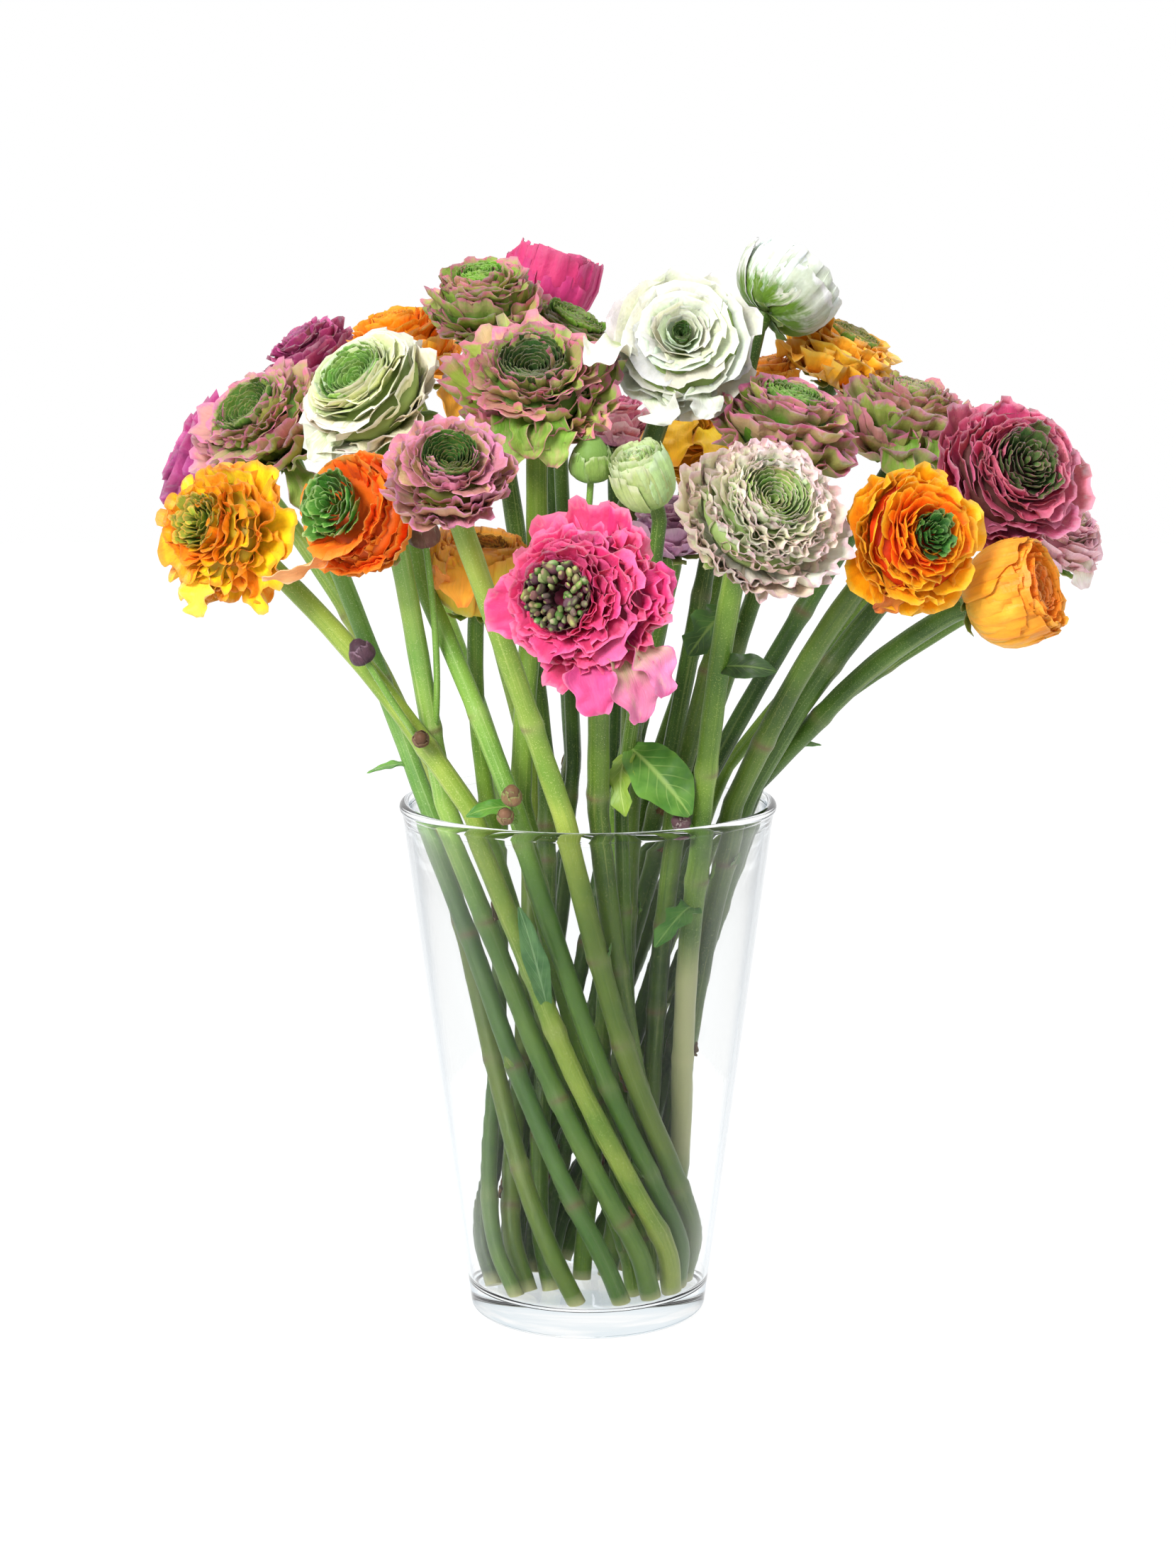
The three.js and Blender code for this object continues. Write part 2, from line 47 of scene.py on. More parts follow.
# %% [markdown]
# ## The camera
#
# The picture was taken from a little above the blooms, almost level, with a long lens. The
# distance, height and tilt below come from the ellipses of the vase's rim and base. A camera in
# Blender looks along its own -Z, so a quarter turn about X makes it level, and the tilt takes a
# little of that back.

# %% The camera
CAMERA_PLACE = (0.0, -1.46636, 0.5128)
CAMERA_TILT = np.radians(9.886)
LENS = 71.66  # millimetres, on a 36 mm frame

camera_data = bpy.data.cameras.new("camera")
camera_data.lens = LENS
camera_data.clip_end = 20.0
camera = bpy.data.objects.new("camera", camera_data)
camera.location = CAMERA_PLACE
camera.rotation_euler = (np.pi / 2 - CAMERA_TILT, 0.0, 0.0)
bpy.context.scene.collection.objects.link(camera)
bpy.context.scene.camera = camera
print("camera at", CAMERA_PLACE, "lens", LENS, "mm")

# %% [markdown]
# ## Meshes from arrays
#
# Every piece here is a grid of points, so one helper turns grids into a mesh. A grid's faces are
# the same for every petal, so they are worked out once and shifted by each petal's first vertex.
# `Skin` collects the grids of one piece, with what each vertex carries: its place on the petal
# as a UV map, and the colours of its root, its body and its rim.


# %% Vectors and colours
MILLIMETRE = 0.001


def unit(vectors):
    """Each vector divided by its own length."""
    return vectors / np.maximum(np.linalg.norm(vectors, axis=-1, keepdims=True), 1e-12)


def colour(code):
    """A colour written as on a screen, such as 'd94a7f', in the linear values that Blender mixes."""
    shown = np.array([int(code[k : k + 2], 16) / 255 for k in (0, 2, 4)])
    return np.where(shown <= 0.04045, shown / 12.92, ((shown + 0.055) / 1.055) ** 2.4)


def colours(codes):
    """The colours of several codes, such as those of root, body and rim, one to a row."""
    return np.array([colour(code) for code in codes])


print("a mid grey on the screen is", np.round(colour("808080"), 3), "in linear values")


# %% One piece's skin
SHARP = np.radians(75)  # edges that turn more than this stay creases
MANY = 1 << 30  # more than the vertices of any piece
TINT_WORDS = ("root", "body", "rim")


class Skin:
    """The vertices, faces and vertex colours of one piece, grid after grid."""

    def __init__(self):
        self.points, self.quads, self.triangles = [], [], []
        self.uv, self.tints, self.own = [], [], []
        self.quad_finish, self.triangle_finish = [], []
        self.count = 0

    def add(self, points, quads, triangles, uv, tints, own, finish=0):
        """Adds vertices with their faces; `tints` is a colour each for root, body and rim."""
        size = len(points)
        self.points.append(points)
        self.quads.append(np.reshape(quads, (-1, 4)) + self.count)
        self.triangles.append(np.reshape(triangles, (-1, 3)) + self.count)
        self.uv.append(np.broadcast_to(uv, (size, 2)))
        self.tints.append(np.broadcast_to(tints, (size, 3, 3)))
        self.own.append(np.broadcast_to(own, (size,)))
        self.quad_finish.append(np.full(len(self.quads[-1]), finish))
        self.triangle_finish.append(np.full(len(self.triangles[-1]), finish))
        self.count += size

    def join(self, other, centre, facing, finish):
        """Takes over another skin's grids, turned to a facing and moved to a centre."""
        for points, quads, triangles, uv, tints, own in zip(
            other.points, other.quads, other.triangles, other.uv, other.tints, other.own
        ):
            first = min(quads.min(initial=MANY), triangles.min(initial=MANY))
            moved = placed(points, centre, facing, 0.0)
            self.add(moved, quads - first, triangles - first, uv, tints, own, finish)

    def mesh(self, name, finishes):
        """The mesh object, with smooth faces and creases only at the thin edges."""
        quads, triangles = np.concatenate(self.quads), np.concatenate(self.triangles)
        corners = np.concatenate([quads.ravel(), triangles.ravel()]).astype(np.int32)
        starts = np.concatenate(
            [np.arange(len(quads)) * 4, len(quads) * 4 + np.arange(len(triangles)) * 3]
        )
        made = bpy.data.meshes.new(name)
        points = np.concatenate(self.points).astype(np.float32)
        made.vertices.add(len(points))
        made.vertices.foreach_set("co", points.ravel())
        made.loops.add(len(corners))
        made.loops.foreach_set("vertex_index", corners)
        made.polygons.add(len(starts))
        made.polygons.foreach_set("loop_start", starts.astype(np.int32))
        finish = np.concatenate(self.quad_finish + self.triangle_finish).astype(np.int32)
        made.polygons.foreach_set("material_index", finish)
        made.update(calc_edges=True)
        made.shade_smooth()
        made.set_sharp_from_angle(angle=SHARP)
        layer = made.uv_layers.new(name="surface")
        uv = np.concatenate(self.uv).astype(np.float32)
        layer.data.foreach_set("uv", uv[corners].ravel())
        tints = np.concatenate(self.tints)
        for k, word in enumerate(TINT_WORDS):
            values = np.ones((len(points), 4), np.float32)
            values[:, :3] = tints[:, k]
            made.color_attributes.new(word, "FLOAT_COLOR", "POINT").data.foreach_set(
                "color", values.ravel()
            )
        own = made.attributes.new("own", "FLOAT", "POINT")
        own.data.foreach_set("value", np.concatenate(self.own).astype(np.float32))
        for each in finishes:
            made.materials.append(each)
        piece = bpy.data.objects.new(name, made)
        bpy.context.scene.collection.objects.link(piece)
        return piece


print("each vertex carries a colour for", ", ".join(TINT_WORDS))


# %% Grids and thin sheets
def grid_quads(rows, columns, closed=False):
    """Quads between neighbouring rows and columns; a closed grid's last column meets its first."""
    index = np.arange(rows * columns).reshape(rows, columns)
    if closed:
        index = np.concatenate([index, index[:, :1]], axis=1)
    corners = [index[:-1, :-1], index[:-1, 1:], index[1:, 1:], index[1:, :-1]]
    return np.stack(corners, -1).reshape(-1, 4)


def sheet_plan(rows, columns):
    """How a thin sheet is closed: its back shares the front's edge, and has its own inside."""
    front = np.arange(rows * columns).reshape(rows, columns)
    inside = np.zeros((rows, columns), bool)
    inside[1:-1, 1:-1] = True
    back = front.copy()
    back[inside] = rows * columns + np.arange(inside.sum())
    quads = grid_quads(rows, columns)
    return inside, np.concatenate([quads, back.ravel()[quads][:, ::-1]])


def add_sheets(skin, sheets, thick, uv, tints, own, finish=0):
    """Closes a batch of sheets [n, rows, columns, 3] into thin petals and adds them.

    The normal is the cross product of the steps across and along the sheet. The front is half
    the thickness along it, the back half against it, and both meet at the edge.
    """
    count, rows, columns = sheets.shape[:3]
    across, along = np.gradient(sheets, axis=2), np.gradient(sheets, axis=1)
    normal = unit(np.cross(across, along))
    inside, quads = sheet_plan(rows, columns)
    body = (normal * (thick / 2))[:, inside]
    front = sheets.copy()
    front[:, inside] += body
    back = sheets[:, inside] - body
    points = np.concatenate([front.reshape(count, -1, 3), back], axis=1)
    faces = quads[None] + (np.arange(count) * points.shape[1])[:, None, None]
    flat = np.concatenate([uv.reshape(-1, 2), uv[inside]])
    skin.add(
        points.reshape(-1, 3),
        faces.reshape(-1, 4),
        np.zeros((0, 3), int),
        np.tile(flat, (count, 1)),
        np.repeat(tints, points.shape[1], axis=0),
        np.repeat(own, points.shape[1]),
        finish,
    )


print("a petal of 8 by 17 points has", len(sheet_plan(8, 17)[1]) * 2, "triangles")


# %% Places on a sheet
def unit_grid(rows, columns):
    """Where each grid point lies: `side` from -1 to 1 across, `way` from 0 at the root to 1."""
    way, side = np.meshgrid(np.linspace(0, 1, rows), np.linspace(-1, 1, columns), indexing="ij")
    return side, way


def smooth(start, end, value):
    """0 before start, 1 after end, and an even S between them."""
    t = np.clip((value - start) / (end - start), 0, 1)
    return t * t * (3 - 2 * t)


def bent(root, bend, tip, t):
    """A quadratic Bezier curve: (1-t)^2 root + 2t(1-t) bend + t^2 tip."""
    t = np.asarray(t)[..., None]
    return (1 - t) ** 2 * root + 2 * t * (1 - t) * bend + t**2 * tip


print("half way, a Bezier curve of 0, 1 and 1 is at", bent(0.0, 1.0, 1.0, 0.5)[0])

# %% [markdown]
# ## Shader maths
#
# A finish is a small graph of nodes. It could be built node by node and link by link, but a sum
# is much easier to read, so `Wire` wraps a socket, and each +, - or * on it adds a Math node.
# `Finish` holds one material; its `node` method makes any other node from its kind, its settings
# and what goes into its sockets.


# %% A socket in sums
class Wire:
    """A shader socket that can be used in sums."""

    def __init__(self, finish, socket):
        self.finish, self.socket = finish, socket

    def sum(self, operation, first, second):
        """The output of a Math node that joins two wires or numbers."""
        return self.finish.node("Math", {"operation": operation}, {0: first, 1: second})

    def __add__(self, other):
        return self.sum("ADD", self, other)

    def __radd__(self, other):
        return self.sum("ADD", other, self)

    def __sub__(self, other):
        return self.sum("SUBTRACT", self, other)

    def __rsub__(self, other):
        return self.sum("SUBTRACT", other, self)

    def __mul__(self, other):
        return self.sum("MULTIPLY", self, other)

    def __rmul__(self, other):
        return self.sum("MULTIPLY", other, self)

    def least(self, other):
        return self.sum("MINIMUM", self, other)


print("sockets can be added, subtracted and multiplied")


# %% One finish
class Finish:
    """One material: its nodes are added one by one, and the last wire goes to the output. The
    world's light is made of nodes too, so it can be wired in the same way."""

    def __init__(self, name, library=bpy.data.materials, output="OutputMaterial"):
        self.made = library.new(name)
        self.made.use_nodes = True
        self.tree, self.output = self.made.node_tree, output
        self.tree.nodes.clear()

    def node(self, kind, settings=None, sockets=None, output=0):
        """Adds one node; `sockets` maps an input to a value or a wire; returns an output."""
        made = self.tree.nodes.new("ShaderNode" + kind)
        for word, value in (settings or {}).items():
            setattr(made, word, value)
        for key, value in (sockets or {}).items():
            if isinstance(value, Wire):
                self.tree.links.new(value.socket, made.inputs[key])
            else:
                made.inputs[key].default_value = value
        return Wire(self, made.outputs[output])

    def mix(self, factor, first, second, blend="MIX"):
        """The first colour where the factor is 0, the second where it is 1."""
        settings = {"data_type": "RGBA", "blend_type": blend, "clamp_factor": True}
        return self.node("Mix", settings, {0: factor, 6: first, 7: second}, output=2)

    def step(self, value, start, end, low=0.0, high=1.0):
        """An even S from low to high while the value goes from start to end."""
        sockets = {"Value": value, "From Min": start, "From Max": end}
        sockets.update({"To Min": low, "To Max": high})
        return self.node("MapRange", {"interpolation_type": "SMOOTHSTEP"}, sockets)

    def noise(self, vector, scale, detail=3.0, roughness=0.55):
        """Noise round 0.5; a larger scale is finer."""
        sockets = {"Vector": vector, "Scale": scale, "Detail": detail, "Roughness": roughness}
        return self.node("TexNoise", None, sockets)

    def drawn_out(self, x, y, z, detail=3.0, roughness=0.55):
        """Noise on three wires, each of them scaled before, so that its grains are longer one way."""
        return self.noise(self.node("CombineXYZ", None, {0: x, 1: y, 2: z}), 1.0, detail, roughness)

    def bump(self, strength, distance, height):
        """A normal for a surface raised by height; the distance is in metres."""
        sockets = {"Strength": strength, "Distance": distance, "Height": height}
        return self.node("Bump", None, sockets)

    def place(self):
        """The point on the object, in metres."""
        return self.node("TexCoord", None, None, output="Object")

    def sheet(self):
        """How far across and along its own sheet a point lies, both from 0 to 1."""
        return self.axes(self.node("UVMap", {"uv_map": "surface"}))[:2]

    def axes(self, vector):
        """A vector's x, y and z."""
        made = self.tree.nodes.new("ShaderNodeSeparateXYZ")
        self.tree.links.new(vector.socket, made.inputs[0])
        return [Wire(self, each) for each in made.outputs]

    def tint(self, word):
        """One of the three colours that the vertices carry."""
        return self.node("Attribute", {"attribute_name": word}, output="Color")

    def own(self):
        """The number that sets each sheet apart from its neighbours."""
        return self.node("Attribute", {"attribute_name": "own"}, output="Fac")

    def close(self, shader):
        """Wires the shader to the output, and hands over what was made."""
        output = self.tree.nodes.new("ShaderNode" + self.output)
        self.tree.links.new(shader.socket, output.inputs["Surface"])
        return self.made

    def close_plant(self, base, rough, bump, glow, depth, tone, gloss, sheen):
        """The surface of what grew: light goes `depth` metres in, further in the tone's colours,
        and fine hairs give a sheen, as a weight and a roughness."""
        sockets = {"Base Color": base, "Roughness": rough, "Normal": bump}
        sockets.update({"Subsurface Weight": glow, "Subsurface Scale": depth})
        sockets.update({"Subsurface Radius": tone, "Specular IOR Level": gloss})
        sockets.update({"Sheen Weight": sheen[0], "Sheen Roughness": sheen[1]})
        return self.close(self.node("BsdfPrincipled", None, sockets))


print("shader helpers are ready")

# %% [markdown]
# ## The petals' finish
#
# A petal is coloured in three parts: the root, the body and a narrow rim. Fine veins run from
# the root to the rim. A picture of a petal could give them, but it would be the same on each, so
# noise draws them, stretched along the petal's own UV map. Light passes through a petal, which
# the subsurface part of the shader gives. The veins lighten and darken the colour and lift the
# surface a little.


# %% The petals' finish
def petal_finish(name, rim_width, streaks, mottle, blush, rough=0.55, glow=0.25):
    """Root, body and rim colours with veins; `mottle` lets the root colour break into the body."""
    f = Finish(name)
    across, along = f.sheet()
    own = f.own()
    veins = f.drawn_out(across * 34.0, along * 2.6, own * 57.0, 4.0, 0.6)
    patches = f.drawn_out(across * 6.0, along * 2.0, own * 31.0, 3.0, 0.6)
    side = across.least(1.0 - across) * 2.2
    top = 1.0 - along
    edge = side.least(top) + (patches - 0.5) * 0.34 + (veins - 0.5) * 0.14
    rim = f.step(edge, rim_width, rim_width * 0.1)
    rise = along + (veins - 0.5) * streaks + (patches - 0.5) * mottle
    body = f.mix(f.step(rise, blush[0], blush[1]), f.tint("root"), f.tint("body"))
    clouds = f.drawn_out(across * 4.0, along * 3.0, own * 83.0, 3.0, 0.6)
    body = f.mix(f.step(clouds, 0.5, 0.72, 0.0, mottle), body, f.tint("rim"))
    body = f.mix(f.step(clouds, 0.46, 0.28, 0.0, mottle * 1.2), body, f.tint("root"))
    base = f.mix(rim, body, f.tint("rim"))
    shade = 0.62 + veins * 0.46 + patches * 0.26
    shade = f.node("CombineColor", None, {0: shade, 1: shade, 2: shade})
    base = f.mix(1.0, base, shade, "MULTIPLY")
    crumple = f.noise(f.place(), 330.0)
    bump = f.bump(0.6, 0.0007, veins * 0.5 + crumple * 1.0)
    warm = (1.0, 0.8, 0.6)
    return f.close_plant(base, rough, bump, glow, 0.0025, warm, gloss=0.2, sheen=(0.02, 0.5))


# rim's width, streaks, mottling, where root turns to body, roughness and glow
PETALS = {
    "plain": petal_finish("petal_plain", 0.10, 0.25, 0.25, (0.1, 0.62)),
    "edged": petal_finish("petal_edged", 0.09, 0.3, 0.4, (0.3, 0.8)),
    "pale": petal_finish("petal_pale", 0.11, 0.25, 0.2, (0.1, 0.6), 0.5, 0.3),
    "blushed": petal_finish("petal_blushed", 0.26, 0.3, 0.4, (0.4, 0.9)),
    "striped": petal_finish("petal_striped", 0.08, 0.7, 0.5, (0.35, 0.75), 0.5, 0.25),
    "silky": petal_finish("petal_silky", 0.14, 0.5, 0.25, (0.05, 0.7), 0.42, 0.25),
    "white": petal_finish("petal_white", 0.08, 0.2, 0.2, (0.0, 0.5), 0.5, 0.3),
}
print("petal finishes:", ", ".join(PETALS))

# %% [markdown]
# ## Stems, leaves and glass
#
# The stems are fresh green, ribbed lengthways and speckled where fine hairs catch the light. The
# leaves have a pale midrib with side veins. Both patterns follow the sheet or tube that they are
# on, so they are drawn on its UV map, while specks and patches go by the place in space, which
# hides the seams. The glass is clear with a faint cool tint, which only shows where one looks
# along the wall.


# %% Stems, leaves and glass
GREEN_LIGHT = (0.6, 1.0, 0.3)  # how far red, green and blue light go into a leaf


def stem_finish():
    """Two greens along the stem, fine ribs round it, pale specks and a soft sheen of hairs."""
    f = Finish("stem")
    around, along = f.sheet()
    place = f.place()
    ribs = f.drawn_out(around * 14.0, along * 5.0, f.own() * 41.0)
    patches = f.noise(place, 24.0)
    specks = f.step(f.noise(place, 1500.0, 2.0), 0.58, 0.7)
    base = f.mix(f.step(patches, 0.25, 0.75), f.tint("root"), f.tint("body"))
    base = f.mix(f.step(ribs, 0.54, 0.72, 0.0, 0.3), base, f.tint("rim"))
    base = f.mix(f.step(ribs, 0.46, 0.3, 0.0, 0.5), base, f.tint("root"))
    base = f.mix(specks * 0.45, base, f.tint("rim"))
    bump = f.bump(0.4, 0.0003, ribs * 0.35 + specks * 0.5)
    return f.close_plant(base, 0.42, bump, 0.06, 0.002, GREEN_LIGHT, gloss=0.4, sheen=(0.12, 0.35))


def leaf_finish():
    """A pale midrib, side veins that slant from it to the edge, and a mottled green between."""
    f = Finish("leaf")
    across, along = f.sheet()
    out = f.node("Math", {"operation": "ABSOLUTE"}, {0: across - 0.5}) * 2.0
    wave = f.node("Math", {"operation": "SINE"}, {0: (along * 7.0 - out * 2.2) * (2 * np.pi)})
    veins = f.step(wave, 0.8, 1.0) * f.step(out, 1.0, 0.2)
    rib = f.step(out, 0.14, 0.02)
    patches = f.noise(f.place(), 90.0)
    base = f.mix(f.step(patches, 0.35, 0.7), f.tint("root"), f.tint("body"))
    base = f.mix(veins * 0.35, base, f.tint("rim"))
    base = f.mix(rib * 0.7, base, f.tint("rim"))
    bump = f.bump(0.5, 0.0004, veins * -0.6 + rib * -1.0 + patches * 0.4)
    return f.close_plant(base, 0.48, bump, 0.15, 0.0015, GREEN_LIGHT, gloss=0.4, sheen=(0.15, 0.4))


def glass_finish():
    """Clear glass whose edges, where one looks along the wall, are a cool grey-blue. A faint,
    slow unevenness keeps its reflections from being ruled lines."""
    f = Finish("vase_glass")
    place = f.place()
    bump = f.bump(0.05, 0.002, f.noise(place, 14.0, 1.0))
    facing = f.node("LayerWeight", None, {"Blend": 0.5}, output="Facing")
    edge = f.step(facing, 0.66, 1.0)
    x, y, z = f.axes(place)
    # in the foot the edges turn a darker blue: partly the thick glass's own tint, partly painted
    # reflection
    thick = f.mix(f.step(z, 0.017, 0.012), (0.42, 0.55, 0.66, 1.0), (0.12, 0.24, 0.38, 1.0))
    base = f.mix(edge, (0.99, 1.0, 1.0, 1.0), thick)
    # the bluish streaks low in the foot are painted reflections
    streaks = f.drawn_out(x * 22.0, y * 22.0, z * 260.0)
    foot = f.step(z + (streaks - 0.5) * 0.012, 0.015, 0.004) * f.step(streaks, 0.4, 0.62)
    base = f.mix(foot * 0.6, base, (0.5, 0.66, 0.76, 1.0))
    sockets = {"Base Color": base, "Roughness": 0.0, "IOR": 1.5, "Transmission Weight": 1.0}
    sockets.update({"Specular Tint": (0.05, 0.05, 0.055, 1.0), "Normal": bump})
    return f.close(f.node("BsdfPrincipled", None, sockets))


STEM_FINISH, LEAF_FINISH, GLASS_FINISH = stem_finish(), leaf_finish(), glass_finish()
print("stem, leaf and glass finishes are ready")

# %% [markdown]
# ## The vase
#
# The vase is blown in a round mould, so it is one profile carried round the vertical axis: a flat
# foot, a wall that leans outwards, a rounded bead at the rim, and the inner wall down to a thick
# floor. A cone with a Solidify modifier would have the wall, but not the thick floor or the round
# bead. The profile closes on the axis at both ends, so the glass is one closed skin, as real
# glass is, and light bends in it as it should.

# %% The vase's profile
VASE_HEIGHT, BASE_RADIUS, RIM_RADIUS = 250.0, 57.0, 90.0
WALL, FLOOR, BEAD = 3.5, 13.0, 2.6


def inner_radius(height):
    """The inner wall's radius: the outer slope's radius less the wall."""
    return BASE_RADIUS + (RIM_RADIUS - BEAD - BASE_RADIUS) * height / VASE_HEIGHT - WALL


def arc(x, y, radius, start, end, count):
    """Points on a circle: centre plus radius times (cos, sin) of the angle."""
    turn = np.radians(np.linspace(start, end, count))
    return np.stack([x + radius * np.cos(turn), y + radius * np.sin(turn)], -1)


def vase_profile():
    """Radius and height along the glass, from the middle of the foot to the middle of the floor."""
    bead_height, bead_radius = VASE_HEIGHT - BEAD, RIM_RADIUS - BEAD
    foot = arc(BASE_RADIUS - 2.8, 3.0, 3.0, -90, -8, 7)
    bead = arc(bead_radius, bead_height, BEAD, -60, 205, 15)
    floor = arc(inner_radius(FLOOR + 5) - 5, FLOOR + 5, 5.0, 0, -90, 8)
    neck = np.array([[inner_radius(bead_height - 6), bead_height - 6]])
    start, end = np.array([[0.0, 0.0]]), np.array([[0.0, FLOOR]])
    under = np.array([[BASE_RADIUS * 0.5, 0.0]])
    inner = np.array([[inner_radius(FLOOR) * 0.5, FLOOR]])
    return np.concatenate([start, under, foot, bead, neck, floor, inner, end])


print("the glass has", len(vase_profile()), "rings from foot to floor")


# %% The vase
VASE_RING = 144


def lathe(profile, sides):
    """Rings of a profile round the z axis; its first and last points are single poles."""
    turn = np.linspace(0, 2 * np.pi, sides, endpoint=False)
    rings = profile[1:-1]
    x, y = rings[:, :1] * np.cos(turn), rings[:, :1] * np.sin(turn)
    z = np.broadcast_to(rings[:, 1:], x.shape)
    points = np.concatenate([np.stack([x, y, z], -1).reshape(-1, 3), [[0, 0, profile[0, 1]]]])
    points = np.concatenate([points, [[0, 0, profile[-1, 1]]]])
    ring, last = np.arange(sides), (len(rings) - 1) * sides
    following = np.roll(ring, -1)
    low = np.stack([np.full(sides, len(points) - 2), following, ring], -1)
    high = np.stack([np.full(sides, len(points) - 1), last + ring, last + following], -1)
    return points, grid_quads(len(rings), sides, True), np.concatenate([low, high])


vase_skin = Skin()
points, quads, triangles = lathe(vase_profile(), VASE_RING)
vase_skin.add(points * MILLIMETRE, quads, triangles, (0, 0), np.ones((1, 3, 3)), 0.0)
vase = vase_skin.mesh("vase_glass", [GLASS_FINISH])
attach(vase, "root")
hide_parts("vase")
print("vase:", len(quads), "quads")

# %% [markdown]
# ## Where the stems run
#
# Every stem starts on the vase's floor, leans through its mouth and ends under its bloom. Thirty
# curves drawn by hand would run through each other, so the same rule as in the plain model
# places them: the stems spread over the mouth, a smooth curve joins mouth and bloom, and then
# the curves push each other, and the blooms push them, until they lie clear.

# %% The blooms' places
# each bloom's centre, the way it faces, its radius, its height, and how far it is spun in degrees
BLOOMS = {
    1: (-50, 26, 486, -0.05, -0.35, 0.93, 27, 33, 10),
    2: (-19, 108, 491, 0.3, 0.05, 0.95, 23, 37, 0),
    3: (-8, 61, 470, 0.45, -0.2, 0.87, 21, 20, 20),
    4: (-24, -59, 450, -0.05, -0.62, 0.78, 34, 38, 0),
    5: (42, -46, 469, 0, -0.93, 0.36, 37, 28, 12),
    6: (94, 44, 489, 0.62, 0.35, 0.7, 24, 32, 30),
    7: (-92, 67, 461, -0.25, -0.15, 0.96, 29, 40, 5),
    8: (-100, -51, 446, -0.5, -0.55, 0.67, 36, 38, 40),
    9: (-140, 108, 458, -0.55, -0.1, 0.83, 25, 27, 15),
    10: (-153, 0, 429, -0.55, -0.45, 0.7, 33, 34, 55),
    11: (-186, 77, 406, -0.9, 0.1, 0.42, 33, 40, 0),
    12: (-166, -79, 385, -0.55, -0.78, 0.3, 32, 32, 25),
    13: (-99, -113, 396, -0.6, -0.75, 0.25, 31, 33, 35),
    14: (-58, -143, 417, 0, -0.7, 0.7, 25, 29, 60),
    16: (-49, -49, 363, 0.1, -0.2, 0.97, 21, 38, 0),
    17: (-2, -156, 363, -0.3, -0.92, 0.22, 35, 33, 8),
    20: (13, 58, 427, 0, -0.1, 0.99, 20, 26, 0),
    21: (49, 18, 421, -0.1, -0.85, 0.5, 21, 22, 0),
    22: (75, -133, 398, 0.35, -0.75, 0.55, 37, 37, 22),
    23: (90, -44, 432, 0.25, -0.25, 0.93, 34, 36, 48),
    24: (125, 69, 458, 0.4, -0.2, 0.89, 28, 30, 30),
    25: (89, 67, 447, -0.1, -0.1, 0.99, 16, 23, 0),
    26: (151, 18, 430, 0.25, -0.15, 0.95, 32, 40, 14),
    27: (193, -51, 410, 0.38, -0.85, 0.36, 37, 36, 33),
    28: (208, 61, 423, 0.35, 0.1, 0.93, 18, 21, 0),
    29: (143, -123, 387, 0.45, -0.87, 0.2, 33, 31, 50),
    30: (187, -90, 358, 0.85, -0.4, 0.3, 23, 39, 18),
    31: (230, 44, 372, 0.3, -0.4, 0.86, 21, 30, 42),
    34: (39, -26, 383, 0, -0.2, 0.98, 20, 28, 0),
    19: (25, -79, 409, -0.35, -0.35, 0.87, 13, 30, 0),
}
# where the stems that show most pass the mouth; the others follow a rule
MOUTHS = {
    4: (-30, -44), 8: (-36, -66), 10: (-76, -14), 11: (-74, 22), 12: (-48, -60), 13: (-60, -46),
    14: (-12, -76), 16: (-46, -30), 17: (6, -56), 22: (52, -58), 23: (40, -34), 27: (74, -14),
    29: (66, -40), 30: (78, 8), 31: (70, 34),
}
STEM_RADIUS = 4.5
# the radii of the stems that are thicker or thinner
THICKNESS = {
    4: 5, 5: 5, 12: 4.8, 13: 4.8, 14: 5, 17: 5, 22: 5, 27: 5, 29: 5, 30: 4.8, 3: 3.6, 9: 3.8,
    16: 3.8, 19: 3.4, 20: 3.8, 21: 3.8, 25: 3.4, 28: 3.4, 31: 3.4,
}
BUD = 19  # a stem that ends in a bud of its own, in place of a bloom

NUMBERS = list(BLOOMS)
ROWS = np.array([BLOOMS[number] for number in NUMBERS], float)
CENTRES, FACINGS = ROWS[:, :3], unit(ROWS[:, 3:6])
RADII, HEIGHTS = ROWS[:, 6], ROWS[:, 7]
THICK = np.array([THICKNESS.get(number, STEM_RADIUS) for number in NUMBERS], float)
GAP = 0.3  # between pieces that touch
TOPS = CENTRES - FACINGS * (HEIGHTS / 2 + GAP)[:, None]
print("blooms and bud:", len(NUMBERS))

# %% The stems in the vase
CLEAR = 1.6  # air that the stems keep between them, and to the blooms
MOUTH_REACH = 79  # how far from the middle of the mouth a stem may pass
FOOT_SCALE, FOOT_TURN = 0.58, np.radians(100)  # the bundle's foot against its mouth
WAIST_SHARE = 0.52  # the bundle's size at its waist against its mouth
BULGE, BULGE_HEIGHT = 0.3, 0.2  # how far it bows out above the foot, and where
VASE_STEPS = np.array([0, 0.12, 0.27, 0.5, 0.75])  # a stem's bends, as shares of the way up
SPREAD_ROUNDS = 600


def spread_mouth():
    """Moves each pair that is too close apart by 0.35 of what they lack, many times over."""
    rule = np.stack([TOPS[:, 0] * 0.42, (TOPS[:, 1] + 15) * 0.75], -1)
    places = np.array([MOUTHS.get(number, rule[k]) for k, number in enumerate(NUMBERS)], float)
    need = (1.1 * (THICK[:, None] + THICK[None]) + CLEAR) / WAIST_SHARE
    for _ in range(SPREAD_ROUNDS):
        apart = places[:, None] - places[None]
        length = np.linalg.norm(apart, axis=-1)
        close = (length < need) & ~np.eye(len(places), dtype=bool)
        push = np.where(close, 0.35 * (need - length) / np.maximum(length, 1e-9), 0)
        places = places + (apart * push[..., None]).sum(1)
        reach = np.linalg.norm(places, axis=1)
        limit = MOUTH_REACH - THICK + STEM_RADIUS
        places = places * np.minimum(1, limit / np.maximum(reach, 1e-9))[:, None]
    return places


